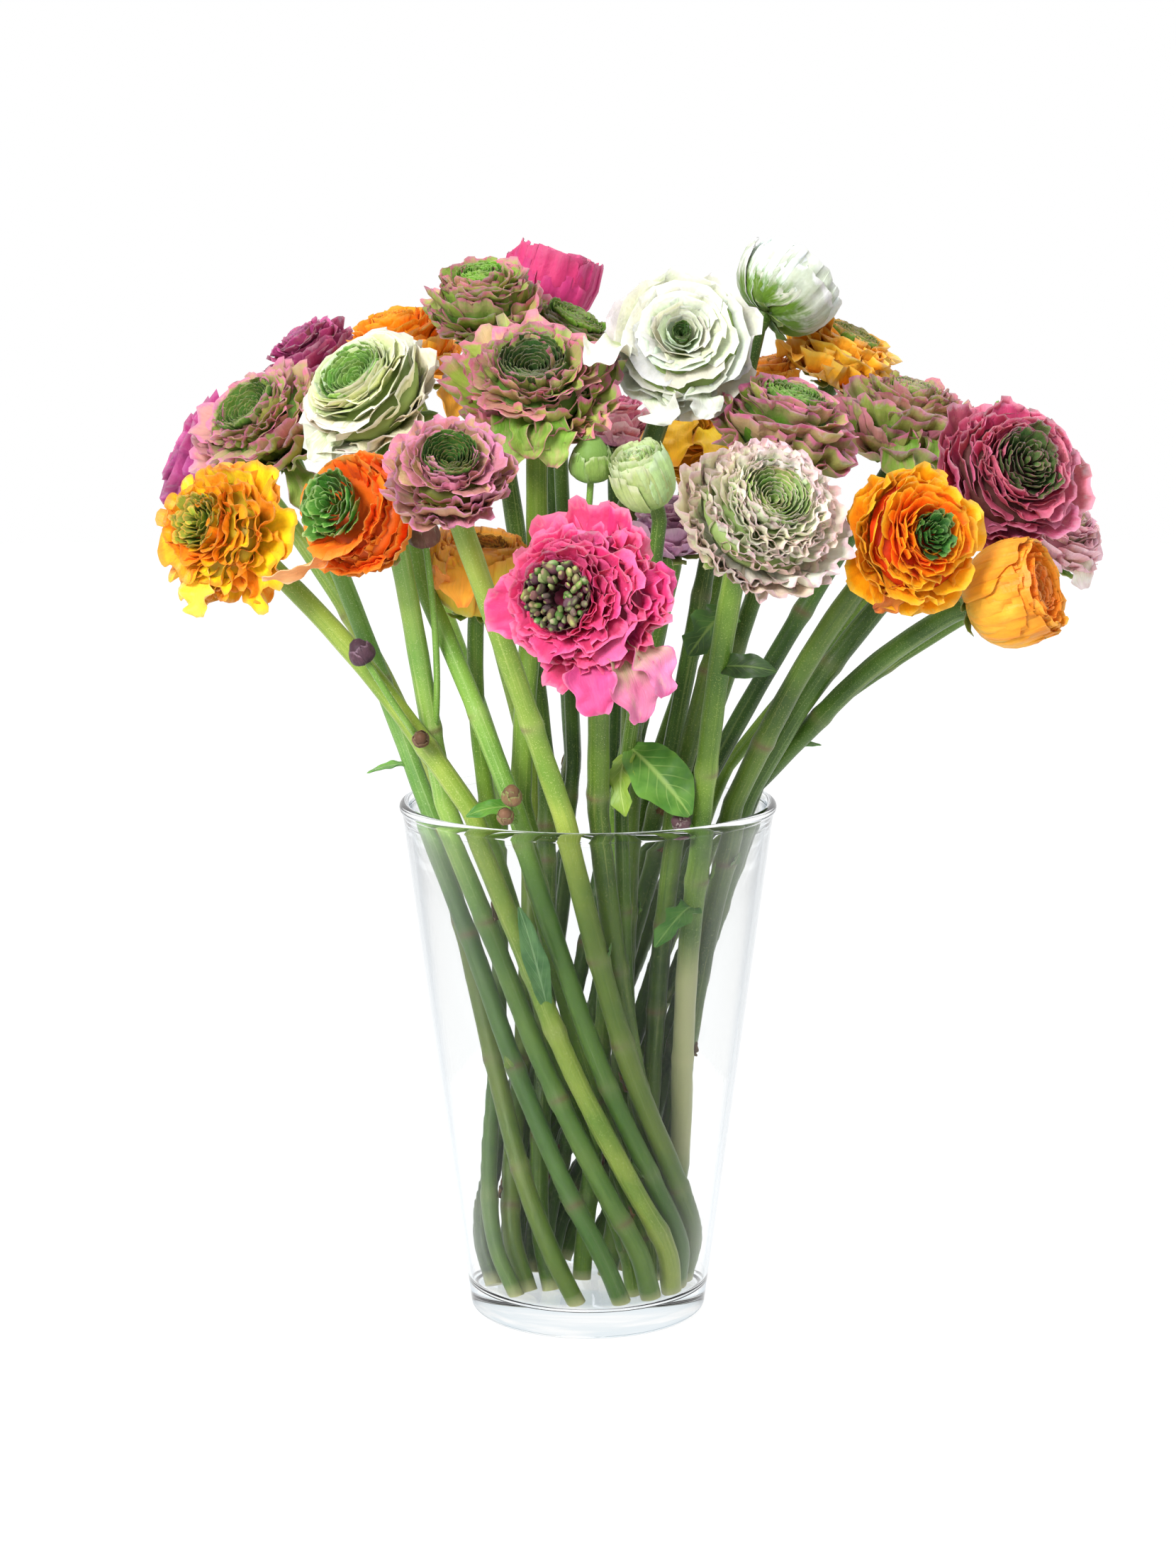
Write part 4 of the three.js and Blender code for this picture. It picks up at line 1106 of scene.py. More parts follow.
# how far the eye stands from the bloom's middle, along the world's axes
EYE_SHIFTS = {13: (-9, 0, 3), 17: (-8, 0, 1), 22: (2, 0, 3), 12: (-2, 0, 3)}
LOOKS = {
    1: ("ball", "green", "dome", 0.4, "edged",
        "6c9430 90ac44 c86c86", "689434 84a240 c0687a", "3f6f1a 5c9428 84ac40"),
    2: ("cup", "cup", "crater", 0.3, "plain",
        "a52457 d73b7a cd3972", "962451 ba2f64 d33976", "4a1430 7a2048 a02c60"),
    3: ("ball", "tight", "dome", 0.7, "plain",
        "3f5f1c 587a2a 8a5a4a", "44681c 5b7f2a 84664e", "3f6a1a 5a8428 6f7440"),
    4: ("ball", "green", "crater", 0.44, "edged",
        "749e34 a0bc50 dc7c98", "689034 90ac48 cc6c88", "1c2e16 385626 6c6a48"),
    5: ("disc", "white", "crater", 0.1, "white",
        "b0c87a dadacd e3e3da", "a8c46c d6dac4 dfe2d4", "24401c 3f6428 6f8f4a"),
    6: ("cup", "cup", "crater", 0.3, "striped",
        "62882b d8dccc e0e2da", "8cb050 d6dcc8 dee2d4", "6f9a3c a8c47c dce4c8"),
    7: ("ball", "layered", "dome", 0.3, "plain",
        "f99d1e f9951b f9a52e", "f9840a f9860a f9931a", "e87c0c ee8812 f49420"),
    8: ("ball", "white", "crater", 0.42, "striped",
        "94a054 ece6cc f0ecde", "a0b864 d6daa6 e8e6ca", "3f6428 6f9a44 a8cc74"),
    9: ("ball", "frilly", "dome", 0.3, "plain",
        "7a3a50 a83470 c45a8c", "7a5a44 9c306c bc5088", "54703a 8a4a60 a84880"),
    10: ("ball", "green", "crater", 0.46, "edged",
        "7ca03c a2ae58 da7ca0", "709838 9aa252 d07096", "2f4f1c 4a7028 7f8444"),
    11: ("ball", "waved", "dome", 0.3, "plain",
        "982c70 b43c84 c45c98", "982c70 b03c80 c45c94", "8a5060 ac4884 c0589c"),
    12: ("disc", "silky", "tuft", 0.36, "silky",
        "e8e02c f8c414 f4962a", "d0b41c f6aa12 f08420", "4f7f2c 8f9a34 d0a030"),
    13: ("disc", "sweep", "tuft", 0.5, "silky",
        "fba42a fb841a fba038", "fb7016 fb5812 fb7c1e", "265c1a 447c2a 84ac58"),
    14: ("ball", "green", "crater", 0.47, "edged",
        "96a242 bc8e72 de84aa", "7c802c ac7070 d67ca0", "26461a 3a6426 746838"),
    16: ("cup", "cup", "crater", 0.5, "silky",
        "ffe838 ffc04c ffa836", "fcb432 ffb03c ffb444", "3a2414 70421a a8621e"),
    17: ("disc", "frilly", "beads", 0.4, "plain",
        "ac2356 dd3374 f36a9c", "8d1b44 cc2b62 eb5b90", "241c14 5c3844 808e50"),
    19: ("cup", "cup", "dome", 0.3, "plain",
        "84ac4e b8d084 d4e2b0", "90b458 bcd28a dce6be", "8fb35a b8cf88 d5e2b4"),
    20: ("ball", "frilly", "dome", 0.3, "plain",
        "d0708f ee98b4 f8bccc", "bc5878 dc7c9c eca0b8", "8a3450 b84a74 d06a90"),
    21: ("disc", "waved", "crater", 0.3, "silky",
        "ffc828 ffc22c ffaa34", "ffba24 ffba2c fc9e30", "6f8a2c d0a02c f4a420"),
    22: ("ball", "coral", "crater", 0.4, "pale",
        "c4d490 f0ecd6 e4c0c0", "b0cc7c e8ecd0 e4c8c4", "5a7438 8ca860 ccb8a4"),
    23: ("ball", "waved", "dome", 0.4, "edged",
        "648824 989c4e d8729a", "5a8422 8e963e d06c92", "3a6a20 54822c 789444"),
    24: ("ball", "waved", "dome", 0.45, "silky",
        "f0a628 f2b028 f4c850", "d48c24 f0a228 f2ba4c", "3f6428 6a8f38 a08a40"),
    25: ("ball", "layered", "dome", 0.3, "plain",
        "f08c1c f49828 f8ac40", "e87c1c f09028 f4a03c", "b0682c d08830 e8943a"),
    26: ("ball", "green", "dome", 0.36, "edged",
        "729030 9aa056 c4708a", "6c8c34 92944c b8687a", "4f7430 7a9444 a48a70"),
    27: ("disc", "layered", "tuft", 0.4, "plain",
        "7c3c36 cc4674 e07e9c", "6c3c38 b63e62 d66e88", "24381c 466030 7c4a54"),
    28: ("ball", "tight", "dome", 0.7, "plain",
        "5a7a30 6f8f3c a08474", "5c8434 6c9038 8f8a58", "4f7f28 649430 7f9a4a"),
    29: ("disc", "layered", "tuft", 0.26, "silky",
        "f48c0a fca40e fcb824", "f4460a fc700c fc9a16", "1f4a1c 2f5c20 4a7a30"),
    30: ("cup", "cup", "crater", 0.45, "silky",
        "f9c049 f9a730 f79220", "f9962b f98c1e f57b18", "b85a1c d8701e ec8a34"),
    31: ("ball", "frilly", "dome", 0.36, "blushed",
        "dcdcb0 eeb4c0 f2c0cc", "d08c9c e498ac ecb8c4", "6f9a3c 9ab35a d0b0a0"),
    34: ("ball", "frilly", "dome", 0.3, "plain",
        "b878a4 d094bc e4b4d0", "b878a4 d094bc e4b4d0", "6f6a5a 8f6a84 a97a9c"),
}
print("looks:", len(LOOKS))

# %% Petals that hang loose, and the names of the finishes
# the bloom, then root, bend and tip from its centre, half the width, and the tints
LOOSE_PETALS = [
    (4, (-8, -14, -10), (-12, -30, -24), (-10, -26, -37), 11, "5f8a28 94ac54 c08c80"),
    (4, (8, -14, -10), (9, -30, -24), (8, -26, -36), 9, "688f30 90a850 b88478"),
    (4, (0, -14, -10), (-2, -32, -22), (-2, -29, -32), 9, "5a8424 88a448 b47c74"),
    (5, (-6, -2, -22), (-9, -14, -32), (-6, -13, -38), 10, "a8c478 dce0d4 e3e6dd"),
    (5, (-24, -2, -4), (-36, -26, -2), (-42, -30, -11), 9, "c4d4a4 dce0d4 e3e6dd"),
    (5, (8, -2, -20), (10, -16, -30), (9, -17, -35), 8, "a8c478 dce0d4 e3e6dd"),
    (7, (12, -4, -6), (27, -16, -14), (25, -19, -34), 11, "f2a838 f4ac3c f7b650"),
    (8, (-10, -2, -14), (-20, -12, -24), (-24, -11, -31), 7, "c8d4ac dfe2d0 e6e8dc"),
    (10, (10, -6, -14), (22, -20, -28), (24, -18, -46), 8, "6f8f3c 8fa052 b48a90"),
    (12, (-4, -2, -16), (-8, -12, -28), (-6, -11, -37), 8, "eecc30 f4c044 f6b858"),
    (12, (12, -2, -14), (21, -6, -24), (23, -2, -32), 7, "f3a21c f0982a ee8a34"),
    (13, (-12, -2, -16), (-26, -9, -26), (-42, -9, -27), 5, "f29a4a f2b070 f3bf88"),
    (16, (-8, -12, -6), (-16, -26, -6), (-19, -28, 7), 5, "ee9440 f09a4c e8803a"),
    (16, (-4, -14, 8), (-8, -30, 4), (-7, -30, -12), 9, "ffb42c ffa236 ff8e34"),
    (16, (6, -14, 2), (10, -29, -6), (9, -28, -24), 8, "ffe024 ffcc2c ffb434"),
    (17, (12, 0, -18), (23, -14, -34), (24, -8, -51), 11, "a8b070 d87aa0 e0689c"),
    (17, (20, 0, -16), (33, -12, -26), (34, -8, -40), 9, "b4b87c dc84a8 e470a0"),
    (17, (0, 0, -20), (4, -16, -36), (8, -10, -47), 10, "b04078 d8548c e4709c"),
    (17, (22, 2, 4), (33, -2, 8), (39, 3, 10), 8, "b83068 d84c86 e470a0"),
    (21, (-4, -8, 8), (-9, -26, 6), (-9, -31, -12), 10, "ffb81c ffb024 ff9c2c"),
    (21, (6, -8, 4), (12, -26, 0), (13, -30, -20), 10, "ffd028 ffc42c ffb038"),
    (24, (-8, -8, 2), (-24, -14, 10), (-25, -10, 24), 9, "e8901c f4a830 f8b850"),
    (24, (-2, -6, 4), (-14, -12, 16), (-11, -8, 30), 8, "e4881c f4a02c f8b04c"),
    (24, (-12, -6, -4), (-26, -12, -4), (-33, -12, 8), 8, "f09c24 f8b43c fac45c"),
    (26, (8, -14, 0), (14, -32, -10), (12, -33, -28), 8, "6f9a34 90b44c cc8898"),
    (26, (-4, -14, -2), (-8, -32, -12), (-4, -34, -30), 9, "64902c 88ac48 c88094"),
    (29, (-6, 0, -18), (-11, -8, -27), (-20, -7, -31), 6, "f2a01c c8702a 9a4a24"),
    (31, (2, -4, -6), (7, -14, -14), (9, -12, -25), 7, "e8e4cc f2e6e0 f4dce0"),
]
PETAL_OUTLINE = (0.35, 0.62, 0.85, 0.98, 1.0, 0.9, 0.6, 0.25)
print("loose petals:", len(LOOSE_PETALS))

# %% Making the blooms
BLOOM_SEED = 100
ROOM, CUP_ROOM = 0.93, 0.95  # how much of its radius a bloom fills before its petals ruffle
SEPALS, SEPAL_THICK, LOOSE_THICK = 5, 0.7, 0.5
SEPAL_OUTLINE = (0.5, 0.9, 1.0, 0.85, 0.25)


def add_blossom(skin, rng, number, radius, height, turn):
    """All petals of one bloom round the z axis, with the heart that fills what no one sees, darkened as
    painted shade where it shows between the petals.
    """
    shape, form, kind, eye, _, outer, inner, middle = LOOKS[number]
    outer, inner, middle = outer.split(), inner.split(), middle.split()
    grid = dict(rows=6, fine=5) if number in BEHIND else dict(rows=8, fine=7)
    look = {**COMMON, **FORMS[form], **grid, "eye": eye}
    radius = radius * (CUP_ROOM if shape == "cup" else ROOM)
    shift = np.array(EYE_SHIFTS.get(number, (0, 0, 0)), float) @ turn
    shift[2] = 0
    add_layers(skin, rng, shape, radius, height, look, (outer, inner), shift)
    add_eye(skin, rng, kind, radius, height, eye, middle, shift)
    if kind == "beads":
        add_beads(skin, rng, radius, height, eye, (middle, BEAD_TINTS), shift)
    points, quads, triangles = lathe(HEART * (radius, height), 20)
    # the heart is the inner root colour at 0.55: painted shade deep between the petals
    skin.add(points, quads, triangles, (0.5, 0.05), colour(inner[0]) * 0.55, 0.5)


def add_sepals(skin, rng, radius, height):
    """Small green leaves under the bloom, bent back towards the stem."""
    for k in range(SEPALS):
        turn = 2 * np.pi * k / SEPALS + rng.uniform(-0.2, 0.2)
        out = np.array([np.cos(turn), np.sin(turn)])
        shares = np.array([[0.1, -0.47], [0.5, -0.56], [0.72, rng.uniform(-0.62, -0.4)]])
        ends = [(*(out * share * radius), rise * height) for share, rise in shares]
        sheet = blade(*ends, 3.4, SEPAL_OUTLINE, rng, 7, 7, 0.3, 0.15)
        add_petals(skin, rng, sheet[None], SEPAL_THICK, ("4f6f2c", "6f8f40", "a9a878"))


for row, number in enumerate(NUMBERS):
    if number == BUD:
        continue
    rng = np.random.default_rng(BLOOM_SEED + number)
    centre, facing, spin = CENTRES[row], FACINGS[row], np.radians(ROWS[row, 8])
    skin = Skin()
    add_blossom(skin, rng, number, RADII[row], HEIGHTS[row], facing_turn(facing, spin))
    add_sepals(skin, rng, RADII[row], HEIGHTS[row])
    skin.points = [placed(points, centre, facing, spin) for points in skin.points]
    for *ends, half_width, tints in rows_of(number, LOOSE_PETALS):
        sheet = blade(*(centre + np.array(ends)), half_width, PETAL_OUTLINE, rng, 23, 17, 0.3, 0.28)
        add_petals(skin, rng, sheet[None], LOOSE_THICK, tints.split())
    skin.points = [points * MILLIMETRE for points in skin.points]
    petals = skin.mesh(f"bloom_petals_{number:02d}", [PETALS[LOOKS[number][4]]])
    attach(petals, "root")
    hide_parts(f"bloom_{number:02d}")
print("blooms made:", len(NUMBERS) - 1)

# %% [markdown]
# ## Stems with their leaves and buds
#
# A cut ranunculus stem is a juicy, ribbed tube with a slight swelling where a leaf or a side
# shoot grew, and a brown scar round it. Small buds sit on some of the shoots, and some leaves are
# cut into lobes. A stem could be one smooth tube with all of this painted on, but its outline
# shows against the white, so swellings, scales and hairs are real shapes. The hairs are the
# smallest: three-sided cones, scattered by numbers drawn for each stem.

# %% Leaves and side shoots
# the stem, the height where it grows, bend and tip from there, half width, whether cut, and tints
LEAVES = [
    (19, 283, (14, -26, -8), (27.5, -24, -28), 13, False, "3c7420 5f9434 9cc064"),
    (19, 280, (-6, -22, -6), (-1.5, -21, -26), 7, True, "6c8a28 90a83c b4c46c"),
    (8, 258, (-8, -8, 4), (-22, -9, -2), 4.5, False, "3f7a24 5f9434 8fb35a"),
    (10, 268, (-8, 0, 2), (-22, 2, -4), 4, False, "4f7f34 6f9a48 93b06a"),
    (30, 270, (8, 0, 8), (20, 2, 6), 4, False, "3f6f24 5a8a34 8fae5a"),
    (23, 345, (-9, -22, -4), (-18, -22, -18), 10, True, "2c4c1a 42682a 7a9448"),
    # this leaf's dark greens are partly its own and partly painted shade, as it hangs in the blooms'
    # shadow
    (22, 325, (8, -14, 4), (25, -12, 0), 6, False, "1f3814 345220 607a3c"),
    (12, 162, (-4, -20, 24), (-12.5, -19.5, 52), 5.5, False, "4a7840 6c9458 9cb884"),
    (22, 212, (-6, -16, 0), (-18, -16, -18), 7, True, "3f7a24 5f9434 8fb35a"),
]
PLAIN_LEAF = (0.25, 0.6, 0.85, 1.0, 0.97, 0.85, 0.6, 0.1)
CUT_LEAF = (0.2, 0.6, 0.9, 0.72, 0.6, 0.9, 1.0, 0.72, 0.5, 0.66, 0.7, 0.4, 0.08)
# the stem, the height where it grows, bend and bud from there, the bud's radius, and its tints
SHOOTS = [
    (12, 285, (-8, -16, 12), (-28, -21, 47), 5.8, "2c1a22 4c3440 7a6070"),
    (12, 286, (-1, -8, 2), (-1, -14, 5), 3.8, "4a3424 6a4c38 8a7050"),
    (8, 255, (-2, -14, 5), (-2, -18, 13), 4.6, "5c3a30 7c6244 848c50"),
    (8, 252, (-5, -12, 2), (-6, -17, 6), 3.8, "6a4438 84644a 8c9058"),
    (22, 246, (-5, -6, 2), (-9.5, -9, 5), 4.2, "4a3038 6c5054 a89a90"),
    (13, 285, (6, -24, 40), (-2, -34, 101), 7, "5a3434 7a5448 9a8a6a"),
    (4, 330, (28, -16, 26), (28, -34, 88), 10, "4f7a30 7fa050 b4c890"),
]
print("leaves:", len(LEAVES), "side shoots:", len(SHOOTS))

# %% The stems' greens
# the left stems' lighter greens are partly their own paler green and partly painted light from the left;
# the other stems' darker greens are partly painted shade under the blooms; all but one of the left stems
# turn dark green low down, painted shade inside the vase
LIGHT_ALL_OVER = 12
LIGHTER_STEMS, PALE_STEMS, PAINTED_SHADE_SHARE = (7, 8, 9, 10, 11, 12, 13, 14), (22,), 0.62
PAINTED_SHADE_GREEN, SCAR_BROWN, CUT_PALE = "2c5012", "5c4028", "c4c490"
LIGHTER_TINTS = [
    "52802a 80a844 c4d490", "60903a 98b854 ccd898", "487a2e 78a04c b8cc94", "688c2c a0b048 ccd484",
]
STEM_TINTS = [
    "26440c 4f7220 a4b468", "304f12 5f8226 acbc70", "223e10 446a22 90a45c", "2a4814 547628 98ac68",
    "426818 789a32 b8c86c", "304c14 5f7c26 a4a860",
]
OLIVE = 3  # the row of LIGHTER_TINTS that suits two of the stems better than their turn
TURNED_OLIVE = (12, 14)
SCALE_TINTS = ("5a3c24 7c5a38 a08858", "4f7a2c 7a9440 a49a60")
print("greens:", len(LIGHTER_TINTS) + len(STEM_TINTS))

# %% One stem
STEM_SIDES, STEM_STEPS, FINE_STEPS = 14, 72, 400
STEM_LENGTH = 480  # millimetres, near enough to turn shares of the way into lengths
NEAR_JOINT = np.array([-7, -4, -2, -1, 0, 1, 2, 4, 7])  # extra fine steps round each swelling
SCALE_OUTLINE, SCALE_THICK = (0.9, 1.0, 0.8, 0.5, 0.12), 0.6
STEM_HAIRS, TWIG_HAIRS = 420, 120
LEAF, PETAL = 1, 2  # where these finishes come in a stem's piece, after the stem's own


def at_height(run, height):
    """The point where a stem's run passes a height."""
    k = int(np.argmax(run[:, 2] > height))
    share = (height - run[k - 1, 2]) / (run[k, 2] - run[k - 1, 2])
    return run[k - 1] + (run[k] - run[k - 1]) * share


def add_tube(skin, path, radius, sides, tints, own, scars=0.0, pale=0.0, painted_shade=0.0):
    """A tube in three tints; the last three are how brown, pale and dark green it is at each step, the
    dark green being painted shade.
    """
    points, quads, triangles, uv = tube(path, radius, sides)
    tinted = colours(tints)
    for share, code in ((painted_shade, PAINTED_SHADE_GREEN), (scars, SCAR_BROWN), (pale, CUT_PALE)):
        share = np.broadcast_to(share, (len(path), sides))
        share = np.concatenate([share.ravel(), share[0, :1], share[-1, :1]])[:, None, None]
        tinted = tinted * (1 - share) + colour(code) * share
    skin.add(points, quads, triangles, uv, tinted, own)


def add_stem(skin, rng, points, thick, tints, number):
    """A stem with a swelling, a brown scar and perhaps a scale where each leaf once grew."""
    joints = rng.uniform((0.07, 0.24, 0.42, 0.66), (0.17, 0.36, 0.56, 0.82))
    near = (joints[:, None] + NEAR_JOINT / FINE_STEPS).ravel()
    steps = np.concatenate([np.linspace(0, 1, STEM_STEPS), near]) * (FINE_STEPS - 1)
    chosen = np.unique(np.round(steps).astype(int))
    path, way = flowing(points, FINE_STEPS)[chosen], chosen / (FINE_STEPS - 1)
    away = np.abs(way[:, None] - joints).min(1) * STEM_LENGTH
    swell = np.exp(-((away / 4.5) ** 2))
    facing = np.arange(STEM_SIDES) / STEM_SIDES * 2 * np.pi + 2.0 * number
    rings = np.exp(-((away / 1.7) ** 2))[:, None] * (0.4 + 0.5 * np.cos(facing)) ** 2
    uneven = 0.02 * np.sin(way * 40 + number) + 0.015 * np.sin(way * 93 + 2 * number)
    radius = thick * (1 + uneven + 0.12 * swell + 0.05 * smooth(0.96, 1.0, way))
    pale = 0.9 * smooth(0.014, 0.004, way) + 0.1 * swell
    if number in PALE_STEMS:
        pale = pale + 0.85 * smooth(0.12, 0.2, way) * smooth(0.5, 0.42, way)
    pale = np.clip(pale, 0, 1)[:, None]
    # low on the left stems a dark green is mixed in: painted shade inside the vase
    takes_painted_shade = number in LIGHTER_STEMS and number != LIGHT_ALL_OVER
    painted_shade = PAINTED_SHADE_SHARE * smooth(0.6, 0.46, way)[:, None] * takes_painted_shade
    add_tube(skin, path, radius, STEM_SIDES, tints, rng.random(), rings, pale, painted_shade)
    add_hairs(skin, rng, path, radius, STEM_HAIRS, 1.1, ("b4c890", "c8d8a8", "dfe8c8"))
    across, normal, along = carried(path)
    for joint in joints[:-1]:
        k = int(np.argmin(np.abs(way - joint)))
        turn, length, lean = rng.uniform(0, ROUND), rng.uniform(6, 13), rng.uniform(0.5, 3.0)
        if rng.random() < 0.35:
            continue
        out = across[k] * np.cos(turn) + normal[k] * np.sin(turn)
        root, rise = path[k] + out * radius[k] * 0.95, along[k] * length
        ends = [root, root + rise * 0.5 + out * 1.2, root + rise + out * lean]
        sheet = blade(*ends, 2.4, SCALE_OUTLINE, rng, 9, 7, 0.35, 0.2)
        codes = SCALE_TINTS[0 if rng.random() < 0.5 else 1].split()
        add_petals(skin, rng, sheet[None], SCALE_THICK, codes, finish=LEAF)


print("a stem has", STEM_SIDES, "sides and at least", STEM_STEPS, "steps")

# %% Buds and hairs
HAIR_RADIUS = 0.06
# radius and height of the core that the bud's scales hide
BUD_CORE = np.array([(0, -0.5), (0.5, -0.4), (0.86, -0.1), (0.8, 0.15), (0.45, 0.4), (0, 0.48)])


def add_bud(skin, rng, centre, facing, radius, tints):
    """A closed bud: whorls of five small scales pressed round an egg."""
    bud = Skin()
    frill = dict(tuck=0.5, lobe=0.02, depth=0.2, length=6, choir=0, curl=0.2, loose=0.3, ridge=0)
    scale = np.array([radius, radius * 2.1])
    for k, share in enumerate((1.0, 0.7, 0.4)):
        tip, root, bend = (
            np.array(each) * scale
            for each in ((0.75 * share, 0.56 - 0.36 * share), (0.3, -0.52), (1.4, -0.45))
        )
        sheets = whorl(rng, 5, tip, root, bend, 1.35, frill, GOLDEN_TURN * k, 0.0)
        add_petals(bud, rng, sheets, PETAL_THICK, tints)
    points, quads, triangles = lathe(BUD_CORE * scale, 16)
    bud.add(points, quads, triangles, (0.5, 0.5), colours(tints), 0.5)
    skin.join(bud, centre, facing, PETAL)


def add_hairs(skin, rng, path, radius, count, length, tints):
    """Fine hairs that stand out of a tube: each is a thin three-sided cone."""
    across, normal, along = carried(path)
    step = rng.integers(1, len(path) - 2, count)
    share = rng.random(count)[:, None]
    turn = rng.uniform(0, 2 * np.pi, count)[:, None]
    centre = path[step] * (1 - share) + path[step + 1] * share
    out = across[step] * np.cos(turn) + normal[step] * np.sin(turn)
    lean = unit(out + along[step] * rng.uniform(-0.5, 0.8, (count, 1)))
    thick = np.interp(step + share[:, 0], np.arange(len(path)), radius)[:, None]
    foot = centre + out * thick * 0.96
    side = unit(np.cross(lean, along[step]))
    other = np.cross(lean, side)
    thirds = np.arange(3) * 2 * np.pi / 3
    corners = [foot + (side * np.cos(a) + other * np.sin(a)) * HAIR_RADIUS for a in thirds]
    tip = foot + lean * (length * rng.uniform(0.5, 1.0, (count, 1)))
    points = np.stack([*corners, tip], axis=1).reshape(-1, 3)
    faces = np.array([[0, 1, 3], [1, 2, 3], [2, 0, 3], [0, 2, 1]])
    faces = faces[None] + (np.arange(count) * 4)[:, None, None]
    none = np.zeros((0, 4), int)
    skin.add(points, none, faces.reshape(-1, 3), (0.5, 0.5), colours(tints), 0.2)


print("hairs on a stem:", STEM_HAIRS)

# %% Making the stems
STEM_SEED, LEAF_THICK, SHOOT_RADIUS, SHOOT_STEPS = 500, 0.8, 1.5, 24
TWIG_RADIUS = np.full(SHOOT_STEPS, SHOOT_RADIUS)
for row, number in enumerate(NUMBERS):
    rng = np.random.default_rng(STEM_SEED + number)
    run = np.concatenate([IN_VASE[row], ABOVE[row]])
    skin = Skin()
    end = [CENTRES[row]] if number == BUD else []
    # lighter greens on the left stems are partly painted light, darker greens on the rest partly painted
    # shade
    choice = LIGHTER_TINTS if number in LIGHTER_STEMS else STEM_TINTS
    tints = choice[(OLIVE if number in TURNED_OLIVE else number) % len(choice)].split()
    add_stem(skin, rng, np.concatenate([run, np.reshape(end, (-1, 3))]), THICK[row], tints, number)
    for height, bend, tip, half_width, cut, leaf_tints in rows_of(number, LEAVES):
        ends = at_height(run, height) + np.array([(0, 0, 0), bend, tip])
        outline = CUT_LEAF if cut else PLAIN_LEAF
        sheet = blade(*ends, half_width, outline, rng, 25, 13, 0.22, 0.12)
        add_petals(skin, rng, sheet[None], LEAF_THICK, leaf_tints.split(), finish=LEAF)
    for height, bend, centre, size, bud_tints in rows_of(number, SHOOTS):
        root, bend, centre = at_height(run, height) + np.array([(0, 0, 0), bend, centre])
        twig = bent(root, bend, centre, np.linspace(0, 1, SHOOT_STEPS))
        add_tube(skin, twig, TWIG_RADIUS, 10, LIGHTER_TINTS[0].split(), 0.4)
        add_hairs(skin, rng, twig, TWIG_RADIUS, TWIG_HAIRS, 1.2, ("c8d8a8",) * 3)
        add_bud(skin, rng, centre, unit(centre - bend), size, bud_tints.split())
    if number == BUD:
        bud = Skin()
        add_blossom(bud, rng, BUD, RADII[row], HEIGHTS[row], facing_turn(FACINGS[row], 0.0))
        skin.join(bud, CENTRES[row], FACINGS[row], PETAL)
    skin.points = [points * MILLIMETRE for points in skin.points]
    stem = skin.mesh(f"stem_and_leaves_{number:02d}", [STEM_FINISH, LEAF_FINISH, PETALS["plain"]])
    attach(stem, "root")
    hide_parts(f"stem_{number:02d}")
print("stems made:", len(NUMBERS))

# %% [markdown]
# ## Floor, backdrop and light
#
# The bouquet stands in a white light tent, as small things do in a studio, so white lies behind
# the glass from every side and the horizon hardly shows. A closed tent could be modelled, but
# its light would take twice as long to render. So only the floor is a piece, a wide disc of cloth
# that glows, and the world stands for wall and roof, which give soft light from all round, a
# little less from the near side and from overhead. Two lamps give the petals their shape.

# %% Floor and tent
FLOOR_RADIUS, CLOTH, UNDER_FOOT = 4.0, 0.02, 0.0005
BRIGHT, DIM = (1.0, 1.0, 1.0, 1.0), (0.76, 0.77, 0.78, 1.0)


def floor_profile():
    """Radius and height of a flat disc whose top is just under the vase's foot."""
    low = UNDER_FOOT + CLOTH
    return np.array([(0, -low), (FLOOR_RADIUS, -low), (FLOOR_RADIUS, -UNDER_FOOT), (0, -UNDER_FOOT)])


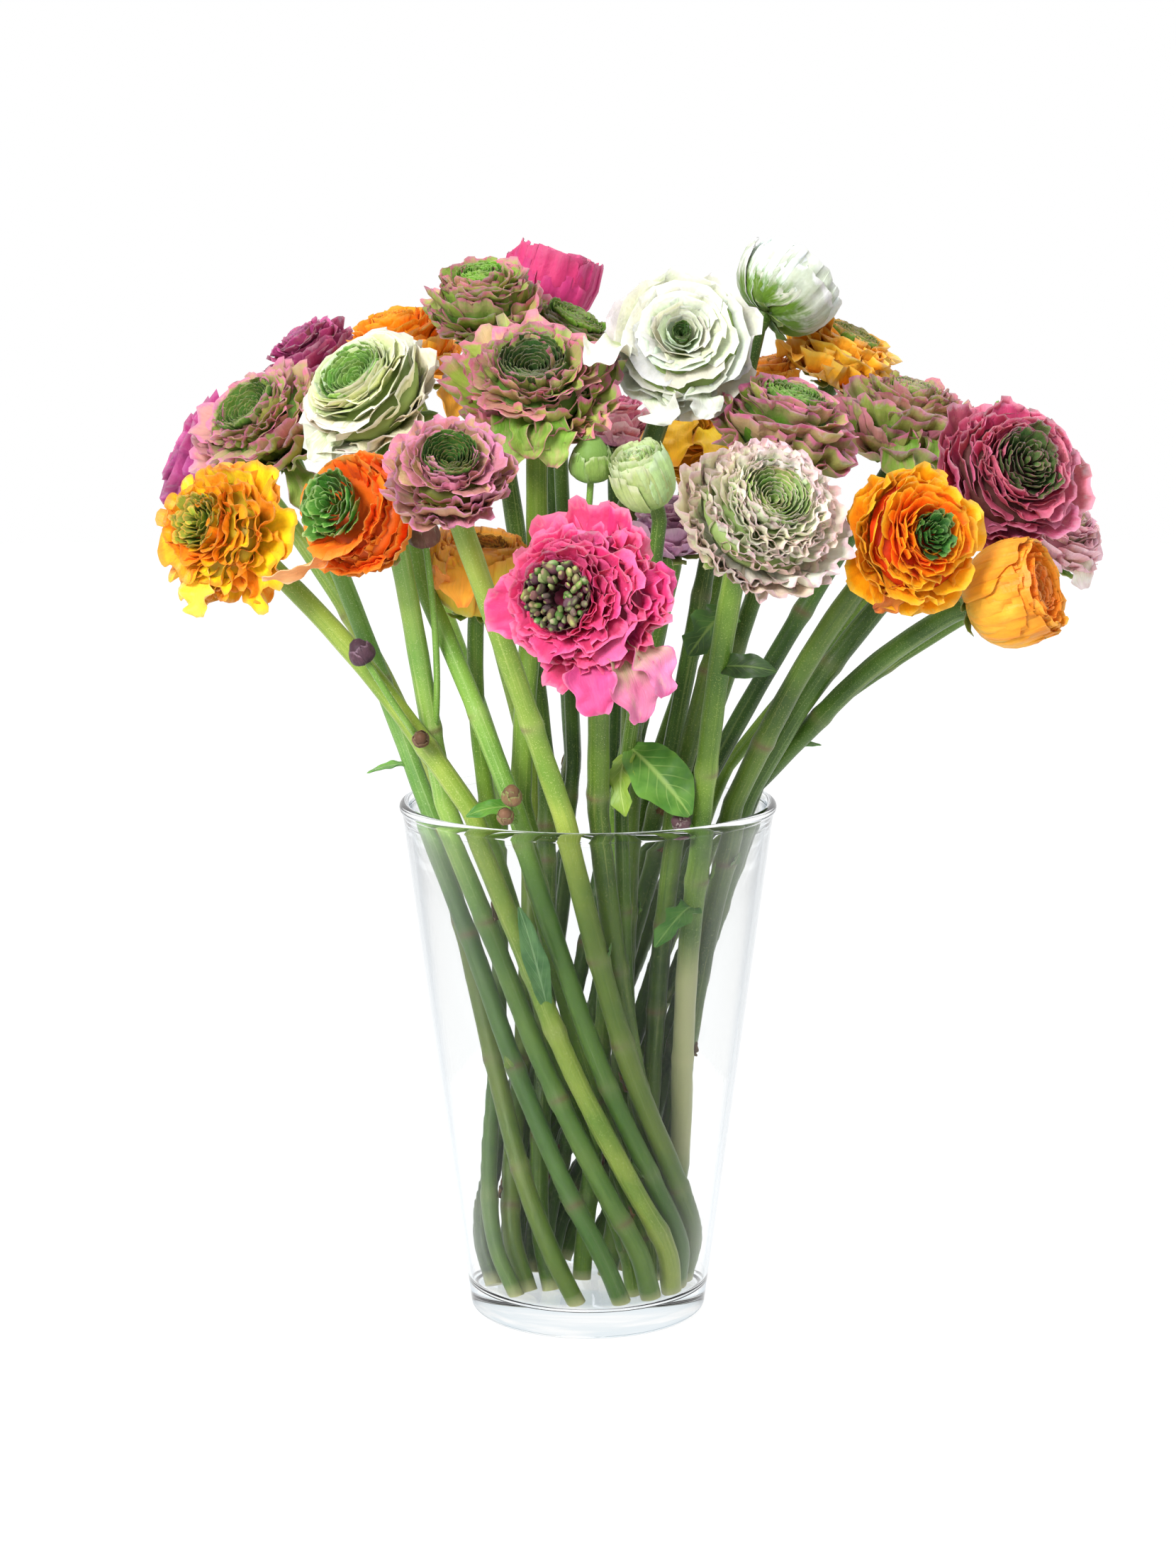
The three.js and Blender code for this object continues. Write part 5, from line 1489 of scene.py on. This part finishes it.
def floor_finish():
    """A matt white cloth that glows, a little less on the near side."""
    f = Finish("floor_cloth")
    place = f.place()
    grain = f.noise(place, 60.0, 2.0)
    base = f.mix(f.step(grain, 0.3, 0.7), (0.12, 0.12, 0.12, 1.0), (0.14, 0.14, 0.14, 1.0))
    glow = f.mix(f.step(f.axes(place)[1], -1.8, -0.5), DIM, BRIGHT)
    sockets = {"Base Color": base, "Roughness": 0.9, "Specular IOR Level": 0.1}
    sockets.update({"Emission Color": glow, "Emission Strength": 0.94})
    return f.close(f.node("BsdfPrincipled", None, sockets))


def tent_light():
    """White from all round, dimmer from the near side and from overhead."""
    f = Finish("light_tent", bpy.data.worlds, "OutputWorld")
    _, near, up = f.axes(f.node("TexCoord", None, None, output="Generated"))
    lit = f.step(near, -0.75, 0.0) * f.step(up, 0.8, 0.4)
    sockets = {"Color": f.mix(lit, DIM, BRIGHT), "Strength": 1.0}
    return f.close(f.node("Background", None, sockets))


floor_skin = Skin()
points, quads, triangles = lathe(floor_profile(), 96)
floor_skin.add(points, quads, triangles, (0, 0), np.ones((1, 3, 3)), 0.0)
floor = floor_skin.mesh("tent_floor", [floor_finish()])
bpy.context.scene.world = tent_light()
print("tent floor:", 2 * FLOOR_RADIUS, "m across")


# %% Lamps
def lamp(name, place, target, size, power, tone):
    """A large square lamp that faces a point."""
    data = bpy.data.lights.new(name, "AREA")
    data.size, data.energy, data.color = size, power, tone
    made = bpy.data.objects.new(name, data)
    across, back, up = np.array(target) - np.array(place)
    tilt, turn = np.arctan2(np.hypot(across, back), -up), np.arctan2(back, across) - np.pi / 2
    made.location = place
    made.rotation_euler = (tilt, 0.0, turn)
    bpy.context.scene.collection.objects.link(made)


lamp("key", (-1.0, -1.9, 1.5), (0, 0, 0.38), 0.8, 74.0, (1.0, 0.99, 0.97))
lamp("top", (0.2, 0.1, 2.0), (0, 0, 0.4), 1.0, 14.0, (1.0, 1.0, 1.0))
bpy.context.scene.view_settings.view_transform = "Standard"
print("stage and lamps are ready")

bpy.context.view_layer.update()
shown = [each for each in bpy.data.objects if each.type == "MESH" and not each.hide_render]
sizes = {each.name: sum(len(face.vertices) - 2 for face in each.data.polygons) for each in shown}
print("pieces:", len(shown), "triangles in all:", sum(sizes.values()))
print("largest:", sorted(sizes.items(), key=lambda item: -item[1])[:8])
